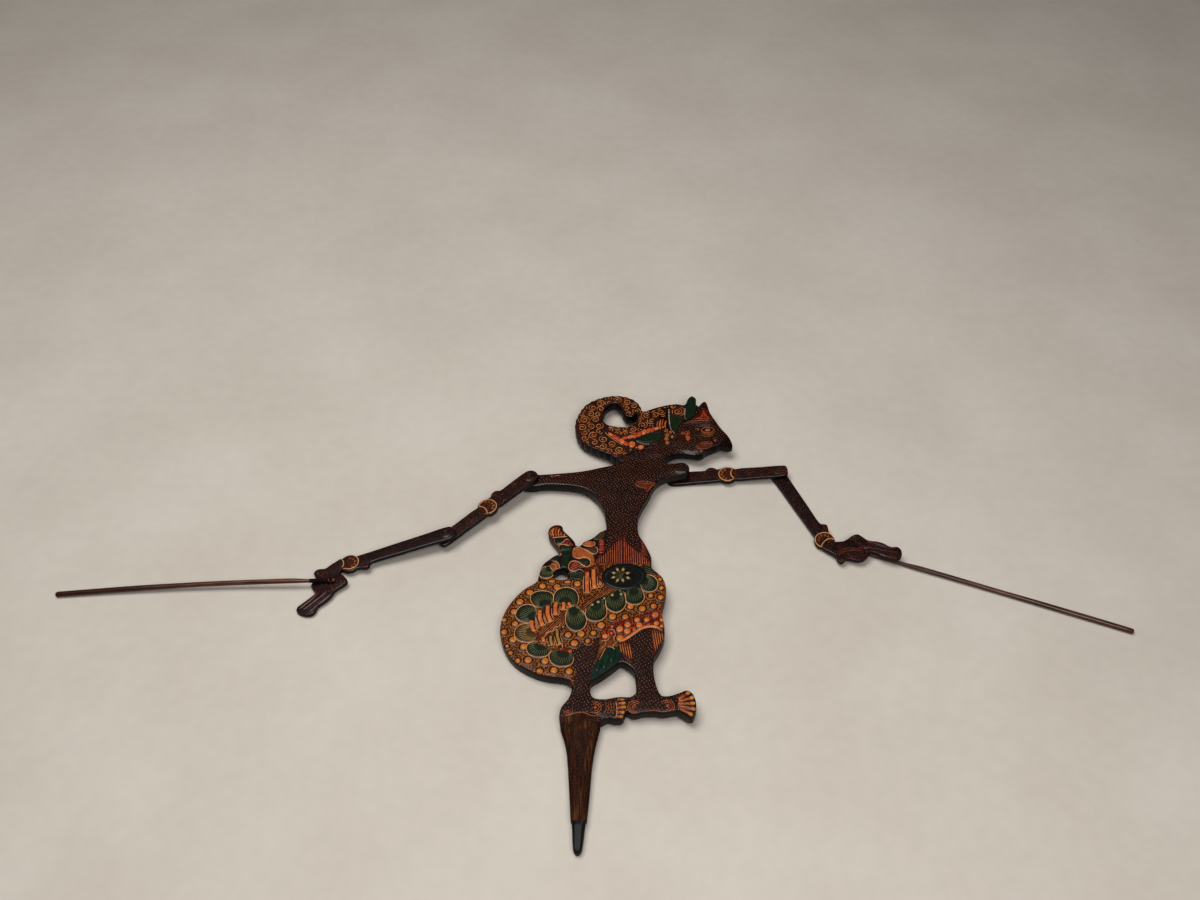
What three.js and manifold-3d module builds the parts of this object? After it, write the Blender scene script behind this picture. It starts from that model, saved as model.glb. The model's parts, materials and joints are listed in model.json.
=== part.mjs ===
// A carved and painted wooden stick puppet, lying on its back: one flat board with head, torso,
// skirt, legs and a hand spike, two jointed arms, and a guide rod tied to each hand.
// Millimetres, +Z up. The board's head points along +Y.
import * as THREE from 'three';
import { mergeVertices } from 'three/addons/utils/BufferGeometryUtils.js';
import Module from 'manifold-3d';

const wasm = await Module();
wasm.setup();

// Driving dimensions of the board
const boardThickness = 12;
const boardEdgeRound = 1.4;
const legRelief = 0.5;         // how far each carved layer stands above the board's face
const clothRelief = 0.9;
const ornamentRelief = 1.5;
const reliefEdgeRound = 0.4;
const beltHalfLength = 22;
const beltHalfWidth = 15.5;
const toeRadius = 3.4;
const spikeBackInset = 0.4;    // the spike's back is planed down a little
const spikeTopStep = 1.2;      // the spike starts this far below the feet's face
const spikeTipStep = 0.9;      // the dark tip is this much slimmer all round
const spikeTipLength = 26;

// Driving dimensions of the arms, rods, pins and ties
const armThickness = 5;
const armFaceDrop = 0.6;       // the plain bar lies this far below its bands and joint pads
const armEdgeRound = 0.7;
const upperArmLength = 108;
const upperArmWidth = 16;
const armEndReach = 10;        // the bar runs on past each pin
const armBandAt = 55;
const armBandRadius = 11;
const forearmLength = 98;
const elbowWidth = 15.5;
const wristWidth = 12;
const braceletRadius = 10.3;
const bandRimWidth = 1.6;
const bandFloorDrop = 0.5;
const fingerGrooveWidth = 0.9;
const fingerGrooveDepth = 0.7;
const pinRadius = 1.3;
const pinHeadRadius = 2.4;
const pinHeadThickness = 1.2;
const jointPadRadius = 7;
const tieRadius = 0.8;
const tieKnotRadius = 1.8;
const tieKnotHeight = 0.9;
const rodLength = 270;
const rodInnerEnd = 4;         // the rod runs on past its hole by this much
const rodHandRadius = 1.8;
const rodGripRadius = 2.75;
const rodGap = 0.6;            // between palm and rod, as the rod leans on its thread
const rest = 0.3;              // gap between pieces that touch

const degree = Math.PI / 180;

// The board leans on the right arm, on the skirt's left edge and on the spike
const boardPitch = 0.64;
const boardRoll = -1.91;

// Where the arms sit on the board, and how they lie at rest. Each arm's plane leans on its loose pin.
// A hand's points are measured from the middle of its bracelet, along and across the forearm.
const left = {
  shoulder: [-54, 400], side: 1, gap: 0.8, lean: -3.16,
  upperArmTurn: 222.3, forearmTurn: 198.5, rodTurn: 182.5, rodLean: -3.47,
  palmHole: [20.5, 16.5],
  hand: [[0, -6], [7, -8.7], [12, -7.3], [18, -5.2], [23.5, -2.8], [29.8, -4.3], [33.5, -3.8], [35.6, -0.8], [35.2, 3.1], [33.6, 5.6],
    [38.3, 9.3], [40.5, 12.5], [40, 17.5], [37.2, 22.2], [42, 25.8], [53, 31], [57.5, 33.6], [58.8, 37.5], [56.2, 42],
    [51, 45.6], [45.5, 46.6], [42, 44.5], [38.5, 39.8], [30, 36], [24, 32], [19.3, 27.4], [11.5, 24.4], [7.2, 22.2],
    [5.9, 19.8], [8, 13.6], [11, 8], [8, 4.5]],
  grooves: [[[29, 21], [38, 27], [47, 31.5], [54, 36]], [[24, 27], [33, 32.5], [42, 37], [50, 41]],
    [[24.5, -1], [27, 5], [24.5, 12], [26, 19]], [[10, 15], [13, 19], [18, 22]]],
};
const right = {
  shoulder: [98, 411], side: -1, gap: 2.35, lean: -1.81,
  upperArmTurn: 2.9, forearmTurn: -67.4, rodTurn: -21.3, rodLean: 3.34,
  palmHole: [21, 24.2],
  hand: [[0, -6], [7.8, -6.8], [13.3, -4.3], [18, -1.6], [21, 0.3], [27.5, -1], [31, 0.3], [31.7, 3], [30, 6.6], [31.5, 10.4],
    [35, 14], [37.4, 18.4], [37.8, 23], [35.7, 28.3], [33, 32.8], [36, 37.3], [41.2, 40], [46, 44.3], [50, 48.8],
    [51.6, 53.2], [49.8, 57.5], [46, 60.4], [42, 61.3], [38.4, 60], [35.8, 54.3], [28.9, 50.2], [24.3, 45.9],
    [19, 38.4], [11.3, 35.2], [7.8, 33], [7.1, 28], [8.6, 21.9], [9.3, 16.4], [7, 9]],
  grooves: [[[27, 28], [33, 37], [40, 46], [46, 54]], [[21.5, 34], [28, 42], [35, 49], [42, 56]],
    [[20.5, 5.5], [20.5, 15], [24.5, 24], [24.5, 31]], [[11, 26], [14.5, 31], [18.5, 34.5]]],
};

const paint = (colour, roughness) => new THREE.MeshStandardMaterial({ color: colour, roughness, metalness: 0 });
const boardPaint = paint(0xa8702c, 0.45);
const armPaint = paint(0x2e1814, 0.45);
const rodStain = paint(0x4a2c22, 0.5);
const pinWood = paint(0x7a5a40, 0.5);
const blackThread = paint(0x1a1412, 0.9);

// A closed solid from a geometry, for joining and cutting
function solid(geometry) {
  const bare = geometry.index ? geometry.toNonIndexed() : geometry.clone();
  bare.deleteAttribute('normal');
  bare.deleteAttribute('uv');
  const merged = mergeVertices(bare, 1e-4);
  return new wasm.Manifold(new wasm.Mesh({
    numProp: 3,
    vertProperties: new Float32Array(merged.attributes.position.array),
    triVerts: new Uint32Array(merged.index.array),
  }));
}

function geometryOf(body) {
  const mesh = body.getMesh();
  const geometry = new THREE.BufferGeometry();
  geometry.setAttribute('position', new THREE.BufferAttribute(new Float32Array(mesh.vertProperties), 3));
  geometry.setIndex(new THREE.BufferAttribute(new Uint32Array(mesh.triVerts), 1));
  const flat = geometry.toNonIndexed();
  flat.computeVertexNormals();
  return flat;
}

// A closed smooth outline through the points
function smoothOutline(points, steps) {
  const corners = points.map(([x, y]) => new THREE.Vector3(x, y, 0));
  const curve = new THREE.CatmullRomCurve3(corners, true, 'centripetal');
  return curve.getPoints(points.length * steps).slice(0, -1).map((p) => new THREE.Vector2(p.x, p.y));
}

// A slab with rounded edges, from z = bottom up by its thickness
function slab(points, bottom, thickness, edge = 0, steps = 2) {
  const geometry = new THREE.ExtrudeGeometry(new THREE.Shape(smoothOutline(points, steps)), {
    depth: thickness - 2 * edge,
    bevelEnabled: edge > 0,
    bevelThickness: edge,
    bevelSize: edge,
    bevelOffset: -edge,
    bevelSegments: 1,
  });
  geometry.translate(0, 0, bottom + edge);
  return solid(geometry);
}

// An upright cylinder
function post(radius, bottom, top, x = 0, y = 0, sides = 20) {
  const geometry = new THREE.CylinderGeometry(radius, radius, top - bottom, sides);
  geometry.rotateX(Math.PI / 2);
  geometry.translate(x, y, (top + bottom) / 2);
  return solid(geometry);
}

// A low dome on the plane z = base, stretched to its two radii
function dome(x, y, base, radiusX, radiusY, height, turn = 0) {
  const geometry = new THREE.SphereGeometry(1, 12, 6);
  geometry.rotateX(Math.PI / 2);
  geometry.scale(radiusX, radiusY, height);
  geometry.rotateZ(turn * degree);
  geometry.translate(x, y, base);
  return solid(geometry);
}

function ring(x, y, radiusX, radiusY = radiusX, count = 10) {
  return Array.from({ length: count }, (_, i) => {
    const angle = (i / count) * 2 * Math.PI;
    return [x + radiusX * Math.cos(angle), y + radiusY * Math.sin(angle)];
  });
}

// A narrow band of even width along a curved path, as an outline
function band(path, width) {
  const curve = new THREE.CatmullRomCurve3(path.map(([x, y]) => new THREE.Vector3(x, y, 0)), false, 'centripetal');
  const count = path.length * 2;
  const sides = [[], []];
  for (let i = 0; i <= count; i += 1) {
    const at = curve.getPoint(i / count);
    const along = curve.getTangent(i / count);
    sides[0].push([at.x - along.y * width / 2, at.y + along.x * width / 2]);
    sides[1].push([at.x + along.y * width / 2, at.y - along.x * width / 2]);
  }
  return [...sides[1], ...sides[0].reverse()];
}

// The board's outline, walked anticlockwise from the nape of the neck
const napeAndShoulder = [[42, 422], [36, 420], [20, 416], [1, 411.5], [-25, 409], [-45, 408], [-54, 408.5]];
const leftStub = [[-60, 406.3], [-62.5, 400], [-60, 393.7]];
const backOfTorso = [[-52, 392], [-38, 393.5], [-20, 392.5], [0, 388.5], [10, 382], [18, 371], [23, 358], [25, 345], [25, 333]];
const bustle = [[19, 329], [12, 322], [3, 317], [-1, 312], [-4, 312.5], [-6, 318], [-12, 326], [-17, 332], [-19, 338],
  [-25, 339.5], [-31, 336], [-32.5, 329], [-29, 322], [-23, 313], [-19, 303.5], [-25, 301], [-31, 296], [-36, 291],
  [-39, 284], [-40.5, 276], [-41.5, 270.5]];
const skirtDisc = [[-54, 261], [-65, 247], [-72, 232], [-74.5, 216], [-71, 199], [-62.5, 184], [-49, 172.5],
  [-29, 164], [-14, 161.5]];
const leftLeg = [[-7, 158], [-6.5, 149], [-10, 140], [-15, 133], [-16.8, 126]];
const heel = [[-16, 118], [-10, 115], [8, 115], [19, 117]];
const soles = [[26, 120.5], [33, 119], [39, 120.5], [42.5, 127], [48, 124.5], [60, 126.5], [75, 125.5], [88, 126.5],
  [95, 122], [100, 119.5]];
const toes = [[104, 127], [104.5, 136], [102, 144], [97, 147.5], [90, 145]];
const rightLeg = [[80, 142], [74, 143], [70.5, 151], [68, 165], [68.5, 180]];
const hip = [[74, 191], [78.5, 203], [79.5, 214], [77.5, 233], [81, 247], [82.5, 261], [79, 273], [70, 283.5],
  [69.5, 297], [64, 313]];
const chest = [[58, 326], [57, 338], [58, 350], [62.5, 362], [69, 375], [73, 385], [79, 394.5], [88, 400.5]];
const rightStub = [[100, 404], [110, 406.5], [112.5, 413], [108, 420], [96, 419.5]];
const chin = [[86, 420], [89, 427], [97, 432.5], [108, 434], [120, 431.5], [127, 432]];
const face = [[131, 436.5], [137, 440], [142, 441.5], [148, 444.5], [154, 442], [159.5, 443.5], [158.5, 451], [149, 468]];
const crown = [[143, 481], [139, 490], [137, 500], [135, 507], [131, 507], [127, 502.5], [124.5, 503], [124.5, 513],
  [120, 516.5], [115.5, 512], [112, 504], [103, 505.5], [92, 504], [80, 500.5], [70, 496.5]];
const hair = [[65.5, 496], [63, 504], [58, 511.5], [49, 517.5], [38, 520.5], [26, 519.5], [13, 514.5], [3, 506], [-3, 495],
  [-7.5, 481], [-7, 468], [-3, 456], [6, 446.5], [20, 438], [32, 431.5]];
const boardOutline = [
  ...napeAndShoulder, ...leftStub, ...backOfTorso, ...bustle, ...skirtDisc, ...leftLeg, ...heel, ...soles, ...toes,
  ...rightLeg, ...hip, ...chest, ...rightStub, ...chin, ...face, ...crown, ...hair,
];

// Where the light shows through the board
const hairWindow = [[59, 492], [55, 488], [48.5, 488], [44, 493], [42, 502], [36, 509], [28, 505], [24, 497], [23, 483],
  [27, 477], [37, 474], [48, 473], [57, 477]];
const legGap = [[11, 157], [10.2, 149], [13, 142], [22, 140], [36, 142], [46, 142], [51, 146], [51.5, 156], [49.5, 169],
  [44, 175], [38, 177.5], [31, 172], [20, 163.5]];
const bustleHole = [[-22, 276], [-13, 275], [-12, 279.5], [-17, 282.5], [-24, 280]];

// Layers carved a little prouder than the board's face. They may run past the outline, which trims them.
const frontSkirt = [[-7, 197], [-6, 178], [-7, 150], [-60, 150], [-90, 215], [-70, 262], [-40, 272], [-2, 271.5], [5, 283],
  [18, 292], [30, 289], [55, 289], [68, 286], [90, 270], [90, 213], [76, 212], [66, 215], [57, 212], [46, 204],
  [36, 200.5], [28, 205], [20, 205], [5, 199]];
const bustleFolds = [[24, 332], [8, 331], [-10, 350], [-40, 345], [-40, 315], [-28, 302], [-50, 292], [-50, 272.5],
  [-8, 272.5], [4, 285], [16, 298], [24, 315]];
const leftLegLayer = [[-6.3, 210], [-6, 178], [-6, 150], [-9.5, 139.5], [-20, 132], [-20, 123.5], [-9, 123], [0, 126], [10, 126],
  [17.5, 123], [26, 115], [44, 115], [43.5, 129], [43, 146], [20, 146], [9.8, 150], [10.5, 170], [17, 190], [20, 208]];
const rightLegLayer = [[47.5, 208], [50.5, 175], [52, 152], [50, 143], [44, 138], [45, 128], [50, 118], [108, 112], [110, 152],
  [88, 150], [72, 147], [68.5, 165], [67.5, 185], [67, 214]];
const hairLayer = [[30, 425], [44, 430], [58, 438], [72, 445], [86, 450], [90, 468], [91, 500], [92, 515], [40, 530],
  [-20, 520], [-20, 440]];
const faceLayer = [[92, 448], [100, 441], [112, 440], [130, 425], [170, 435], [165, 470], [140, 492], [136, 481], [118, 480],
  [108, 476], [101, 468], [95, 458]];
const lowerLeaf = [[58, 454], [66, 462], [76, 466], [87, 465.5], [88, 461], [80, 452.5], [69, 450.5]];
const cheekLeaf = [[99, 462.5], [95, 478], [95, 493], [99, 491], [104, 485], [110.5, 480.5], [104, 473]];
const crownLeaf = [[111, 480], [112.5, 495], [112, 505], [115, 512], [120, 517], [126, 512], [123.5, 498], [119, 486]];
const browPiece = [[121, 481.5], [126, 491], [131, 500], [133, 509], [137.5, 507], [138, 493], [140.5, 482]];
const sash = [[20.5, 205], [24, 216], [36, 222], [55, 228], [79, 236], [90, 236], [90, 212], [76, 212], [66, 215], [57, 212],
  [46, 204], [36, 200.5], [28, 206]];
const headLayers = [lowerLeaf, cheekLeaf, crownLeaf, browPiece];

// The feet's toes, in a fan at each foot's tip: place, turn and size
const frontToes = [[98.5, 143.5, 62], [100.5, 138, 28], [101, 132.5, 4], [100.5, 127.5, -18], [98.5, 123.2, -38]];
const backToes = [[37, 139.8, 55], [38.6, 135.8, 20], [38.6, 131, 0], [38, 126.6, -12], [36.5, 122.8, -40]];

// The spike's half section at distances from its tip: left edge, right edge, and top
const spikeTop = boardThickness - spikeTopStep;
const spikeSections = [
  [124, -16.5, 19, spikeTop], [112, -16, 19.2, spikeTop], [100, -11.8, 16.2, spikeTop], [88, -9.6, 13.8, spikeTop],
  [74, -8.4, 12, spikeTop - 0.1], [60, -7.5, 11, spikeTop - 0.3], [45, -6.5, 9.8, spikeTop - 0.5],
  [spikeTipLength + 1, -5.4, 8, spikeTop - 0.8],
  [spikeTipLength, spikeTipStep - 5.4, 8 - spikeTipStep, spikeTop - 0.8 - spikeTipStep],
  [14, -3.9, 5.8, spikeTop - 2.2], [5, -3.3, 4.6, spikeTop - 2.8], [1.6, -2.2, 3.3, spikeTop - 3.6], [0.3, -0.8, 1.6, spikeTop - 4.6],
];

// A closed skin over rings of points, with its ends filled
function loft(rings) {
  const count = rings[0].length;
  const positions = rings.flat(2);
  const index = [];
  for (let r = 0; r < rings.length - 1; r += 1) {
    for (let i = 0; i < count; i += 1) {
      const a = r * count + i;
      const b = r * count + ((i + 1) % count);
      index.push(a, b, a + count, b, b + count, a + count);
    }
  }
  const last = (rings.length - 1) * count;
  for (let i = 1; i < count - 1; i += 1) {
    index.push(0, i + 1, i);
    index.push(last, last + i, last + i + 1);
  }
  const geometry = new THREE.BufferGeometry();
  geometry.setAttribute('position', new THREE.BufferAttribute(new Float32Array(positions), 3));
  geometry.setIndex(index);
  return solid(geometry);
}

// One rounded section of the spike, flat at the back
function spikeRing([y, leftEdge, rightEdge, top]) {
  const sides = 20;
  const middle = (leftEdge + rightEdge) / 2;
  const halfWidth = (rightEdge - leftEdge) / 2;
  const halfHeight = (top - spikeBackInset) / 2;
  return Array.from({ length: sides }, (_, i) => {
    const angle = ((i + 0.5) / sides) * 2 * Math.PI;
    const c = Math.cos(angle);
    const s = Math.sin(angle);
    const x = middle + halfWidth * Math.sign(c) * Math.abs(c) ** 0.75;
    const z = spikeBackInset + halfHeight + (halfHeight + 0.5) * Math.sign(s) * Math.abs(s) ** 0.75;
    return [x, y, Math.min(Math.max(z, spikeBackInset), top)];
  });
}

// The board's face raised by its relief, inside the outlines only
function layer(relief, outlines) {
  const blank = slab(boardOutline, 0, boardThickness + relief, boardEdgeRound);
  return outlines.map((outline) => blank.intersect(slab(outline, boardThickness / 2, boardThickness)));
}

// A round boss on the board's face
function boss(outline, relief) {
  return slab(outline, boardThickness / 2, boardThickness / 2 + relief, reliefEdgeRound);
}

// The face's own relief: an eye, a brow, a nostril wing, two lips and an ear curl
function faceRelief() {
  const top = boardThickness + clothRelief;
  return [
    dome(134, 466, top, 8.5, 3.2, 0.9, -4),
    dome(136, 473.5, top, 11, 1.3, 0.8, 4),
    dome(152, 450, top, 4.5, 3.4, 0.7, -35),
    dome(129, 446.5, top, 10, 2, 0.9, 14),
    dome(133, 442, top, 5.5, 1.8, 0.9, 14),
    dome(110, 463, top, 5, 5.5, 0.9),
    dome(113, 456, top, 2.6, 4.5, 0.8, 8),
  ];
}

function makeBoard() {
  const skin = slab(boardOutline, 0, boardThickness, boardEdgeRound);
  const parts = [
    ...layer(legRelief, [leftLegLayer, rightLegLayer]),
    ...layer(clothRelief, [frontSkirt, bustleFolds, hairLayer, faceLayer]),
    ...layer(ornamentRelief, [sash, ...headLayers]),
    boss(ring(42, 274, beltHalfLength, beltHalfWidth, 14), ornamentRelief),
    ...faceRelief(),
  ];
  const toeBase = boardThickness + legRelief;
  [...frontToes, ...backToes].forEach(([x, y, turn]) => parts.push(dome(x, y, toeBase - 0.3, toeRadius, toeRadius * 0.62, 1.1, turn)));
  parts.push(loft(spikeSections.map(spikeRing)));
  let board = parts.reduce((sum, part) => sum.add(part), skin);
  for (const opening of [hairWindow, legGap, bustleHole]) {
    board = board.subtract(slab(opening, -1, boardThickness + ornamentRelief + 2));
  }
  for (const arm of [left, right]) board = board.subtract(shoulderBore(arm));
  return geometryOf(board);
}

const pinRecess = pinHeadThickness + rest;

// The pin's hole through the board, square to the leaning arm, with a recess for the head on the far face
function shoulderBore({ shoulder: [x, y], side, gap, lean }) {
  const near = side > 0 ? -gap : armThickness + gap;
  const far = near - side * boardThickness;
  const beyond = far - side * 2;
  const bore = (radius, from, to) => {
    const geometry = new THREE.CylinderGeometry(radius, radius, Math.abs(to - from), 20);
    geometry.rotateX(Math.PI / 2);
    geometry.translate(0, 0, (from + to) / 2);
    geometry.rotateY(lean * degree);
    geometry.translate(x, y, side > 0 ? boardThickness + gap : -gap - armThickness);
    return solid(geometry);
  };
  const hole = bore(pinRadius + rest, near + side * 3, beyond);
  return hole.add(bore(pinHeadRadius + rest, far + side * (pinRecess + rest), beyond));
}

// A link's pin hole, with a recess for the pin's head on its outer side
function drill(body, x, y, headSide) {
  const bored = body.subtract(post(pinRadius + rest, -1, armThickness + 1, x, y));
  const [low, high] = headSide > 0 ? [armThickness - pinRecess, armThickness + 1] : [-1, pinRecess];
  return bored.subtract(post(pinHeadRadius + rest, low, high, x, y));
}

// A round band with a sunk floor and a crescent rim that opens towards +X
function crescentBand(x, radius) {
  const plate = slab(ring(x, 0, radius, radius, 12), 0, armThickness, armEdgeRound);
  const floorZ = armThickness - bandFloorDrop;
  const inner = slab(ring(x + bandRimWidth * 0.4, 0, radius - bandRimWidth - armEdgeRound, radius - bandRimWidth - armEdgeRound, 12),
    floorZ, 2);
  const mouth = post(radius * 0.75, armThickness - armFaceDrop, armThickness + 1, x + radius * 1.1, 0, 24);
  return { plate, cuts: [inner, mouth] };
}

// The upper arm runs along +X from the shoulder pin to the elbow pin. Its tab is on the picture's upper side.
function makeUpperArm({ side }) {
  const half = upperArmWidth / 2;
  const end = upperArmLength + armEndReach;
  const up = -side;
  const face = armThickness - armFaceDrop;
  const bar = slab([[-armEndReach, half - 3.5], [-armEndReach, 3.5 - half], [2 - armEndReach, -half], [30, -half],
    [80, -half], [end - 2.5, -half], [end, 3 - half], [end, half - 4], [end - 2.5, half - 1.5], [80, half - 1.5],
    [30, half], [2 - armEndReach, half]].map(([x, y]) => [x, y * up]), 0, face, armEdgeRound);
  const tab = slab([[armBandAt - 20.5, 0], [armBandAt - 20, half + 2.6], [armBandAt - 16, half + 3.4],
    [armBandAt - 11, half + 1.5], [armBandAt - 9, 0]].map(([x, y]) => [x, y * up]), 0, face, armEdgeRound);
  const { plate, cuts } = crescentBand(armBandAt, armBandRadius);
  let body = bar.add(tab).add(plate);
  cuts.forEach((cut) => { body = body.subtract(cut); });
  body = body.add(post(jointPadRadius, 0, armThickness)).add(post(jointPadRadius, 0, armThickness, upperArmLength, 0));
  return geometryOf(drill(drill(body, 0, 0, side), upperArmLength, 0, -side));
}

const fromElbow = ([x, y]) => [forearmLength + x, y];

// The forearm runs along +X from the elbow pin, with the bracelet and the bent hand at its end
function makeForearm(arm) {
  const elbow = elbowWidth / 2;
  const wrist = wristWidth / 2;
  const face = armThickness - armFaceDrop;
  const bar = slab([[-armEndReach, elbow - 3.5], [-armEndReach, 3.5 - elbow], [2 - armEndReach, -elbow], [4, -elbow],
    [forearmLength * 0.5, -(elbow + wrist) / 2], [forearmLength, -wrist], [forearmLength + 5, 0], [forearmLength, wrist],
    [forearmLength * 0.5, (elbow + wrist) / 2], [4, elbow], [2 - armEndReach, elbow]], 0, face, armEdgeRound);
  const tab = slab([[forearmLength - 19.5, 0], [forearmLength - 19, wrist + 1], [forearmLength - 16, wrist + 6],
    [forearmLength - 9, wrist + 3.5], [forearmLength - 7, 0]], 0, face, armEdgeRound);
  const hand = slab(arm.hand.map(fromElbow), 0, armThickness - 0.2, armEdgeRound);
  const { plate, cuts } = crescentBand(forearmLength, braceletRadius);
  let body = bar.add(tab).add(plate);
  cuts.forEach((cut) => { body = body.subtract(cut); });
  body = body.add(hand.subtract(post(braceletRadius - 0.5, -1, armThickness + 1, forearmLength, 0)));
  for (const groove of arm.grooves) {
    const path = band(groove.map(fromElbow), fingerGrooveWidth);
    body = body.subtract(slab(path, armThickness - 0.2 - fingerGrooveDepth, 2, 0, 1));
  }
  const [x, y] = fromElbow(arm.palmHole);
  body = body.add(post(jointPadRadius, 0, armThickness)).subtract(post(tieRadius + rest, -1, armThickness + 1, x, y, 12));
  return geometryOf(drill(body, 0, 0, arm.side));
}

function turnedSolid(profile, sides) {
  const geometry = new THREE.LatheGeometry(profile.map(([r, h]) => new THREE.Vector2(r, h)), sides);
  geometry.rotateX(Math.PI / 2);
  return solid(geometry);
}

// A headed peg between two heights
function makePin(bottom, top) {
  const soft = 0.3;
  const half = [[0, 0], [pinHeadRadius - soft, 0], [pinHeadRadius, soft], [pinHeadRadius, pinHeadThickness], [pinRadius, pinHeadThickness]];
  const profile = [...half.map(([r, h]) => [r, bottom + h]), ...half.map(([r, h]) => [r, top - h]).reverse()];
  return geometryOf(turnedSolid(profile, 16));
}

// The knotted thread through the palm and the rod
function makeTie(bottom, top) {
  const knot = [[0, 0], [tieKnotRadius * 0.7, 0], [tieKnotRadius, tieKnotHeight * 0.35],
    [tieKnotRadius * 0.9, tieKnotHeight * 0.8], [tieRadius, tieKnotHeight]];
  const profile = [...knot.map(([r, h]) => [r, bottom + h]), ...knot.map(([r, h]) => [r, top - h]).reverse()];
  return geometryOf(turnedSolid(profile, 12));
}

// A rod along +X, slimmer at the hand, with a cross hole for its thread at the origin
function makeRod() {
  const end = rodLength - rodInnerEnd;
  const profile = [[0, -rodInnerEnd], [rodHandRadius - 0.5, -rodInnerEnd], [rodHandRadius, 0.8 - rodInnerEnd],
    [rodHandRadius + 0.1, rodLength * 0.2], [(rodHandRadius + rodGripRadius) / 2, rodLength * 0.5],
    [rodGripRadius, rodLength * 0.85], [rodGripRadius, end - 1.2], [rodGripRadius - 0.8, end], [0, end]];
  const geometry = new THREE.LatheGeometry(profile.map(([r, h]) => new THREE.Vector2(r, h)), 16);
  geometry.rotateZ(-Math.PI / 2);
  return geometryOf(solid(geometry).subtract(post(tieRadius + 2 * rest, -5, 5, 0, 0, 12)));
}

function named(name, geometry, material) {
  const mesh = new THREE.Mesh(geometry, material);
  mesh.name = name;
  return mesh;
}

function group(x, y, z, turn = 0) {
  const made = new THREE.Group();
  made.position.set(x, y, z);
  made.rotation.z = turn * degree;
  return made;
}

// One arm, stacked upward from the board's face (side 1) or downward from its back (side -1)
function makeArm(name, arm) {
  const { side, gap } = arm;
  const shoulder = group(...arm.shoulder, side > 0 ? boardThickness + gap : -gap - armThickness);
  shoulder.rotation.y = arm.lean * degree;
  const swing = group(0, 0, 0, arm.upperArmTurn);
  shoulder.add(swing);
  swing.add(named(`upper_arm_${name}`, makeUpperArm(arm), armPaint));
  const through = boardThickness + gap - rest;
  const pinEnds = side > 0 ? [-through, armThickness - rest] : [rest, armThickness + through];
  swing.add(named(`shoulder_pin_${name}`, makePin(...pinEnds), pinWood));

  const step = side * (armThickness + rest);
  const elbow = group(upperArmLength, 0, step, arm.forearmTurn - arm.upperArmTurn);
  swing.add(elbow);
  elbow.add(named(`forearm_${name}`, makeForearm(arm), armPaint));
  const elbowEnds = side > 0 ? [rest - step, armThickness - rest] : [rest, armThickness - step - rest];
  elbow.add(named(`elbow_pin_${name}`, makePin(...elbowEnds), pinWood));

  const reach = rodGap + rodHandRadius;
  const palm = group(...fromElbow(arm.palmHole), side > 0 ? armThickness + reach : -reach, arm.rodTurn - arm.forearmTurn);
  elbow.add(palm);
  const lean = new THREE.Group();
  lean.rotation.y = arm.rodLean * degree;
  palm.add(lean);
  lean.add(named(`rod_${name}`, makeRod(), rodStain));
  const knot = tieKnotHeight + rest;
  const handSide = -side * (reach + armThickness + knot);
  const rodSide = side * (rodHandRadius + knot);
  palm.add(named(`rod_tie_${name}`, makeTie(Math.min(handSide, rodSide), Math.max(handSide, rodSide)), blackThread));
  return shoulder;
}

const board = new THREE.Group();
board.rotation.set(boardPitch * degree, boardRoll * degree, 0);
board.add(named('body_board', makeBoard(), boardPaint));
board.add(makeArm('left', left));
board.add(makeArm('right', right));

// The origin is the middle of the bounding box, on the table
const puppet = new THREE.Group();
puppet.add(board);
puppet.updateMatrixWorld(true);
const bounds = new THREE.Box3().setFromObject(puppet, true);
board.position.set(-(bounds.min.x + bounds.max.x) / 2, -(bounds.min.y + bounds.max.y) / 2, -bounds.min.z);
puppet.updateMatrixWorld(true);

export default puppet;
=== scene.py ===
import json
import math
import random

import bmesh
import bpy
from mathutils import Matrix, Vector
from mathutils.geometry import tessellate_polygon
from mathutils.kdtree import KDTree


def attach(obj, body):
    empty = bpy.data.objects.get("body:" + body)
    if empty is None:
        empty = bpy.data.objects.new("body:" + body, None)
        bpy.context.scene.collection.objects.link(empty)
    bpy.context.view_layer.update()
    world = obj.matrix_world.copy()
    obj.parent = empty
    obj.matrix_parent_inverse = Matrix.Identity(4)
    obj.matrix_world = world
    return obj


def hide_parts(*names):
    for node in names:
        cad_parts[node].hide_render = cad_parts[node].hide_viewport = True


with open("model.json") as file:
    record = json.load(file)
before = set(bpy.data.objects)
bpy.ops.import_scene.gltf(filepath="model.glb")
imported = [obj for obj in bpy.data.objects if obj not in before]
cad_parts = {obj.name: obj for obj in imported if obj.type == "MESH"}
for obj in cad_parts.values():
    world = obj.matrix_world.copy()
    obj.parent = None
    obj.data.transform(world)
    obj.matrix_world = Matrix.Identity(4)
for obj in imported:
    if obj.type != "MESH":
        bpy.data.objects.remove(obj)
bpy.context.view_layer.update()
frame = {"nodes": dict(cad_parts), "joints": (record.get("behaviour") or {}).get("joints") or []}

MM = 0.001
dice = random.Random(7)

# The solids' own flat frames, as part.mjs has them. The board's x runs across it, y from the spike's tip
# and z out of its back. An arm link's x runs from its inner pin to its outer one. All in millimetres.
BOARD_PITCH, BOARD_ROLL = math.radians(0.64), math.radians(-1.91)
BOARD_THICKNESS = 12.0
BOARD_EDGE = 2.0
EDGE_FLATNESS = 0.8        # an edge's fall over its width
LEG_TOP, CLOTH_TOP, ORNAMENT_TOP = 12.5, 12.9, 13.5
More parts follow.
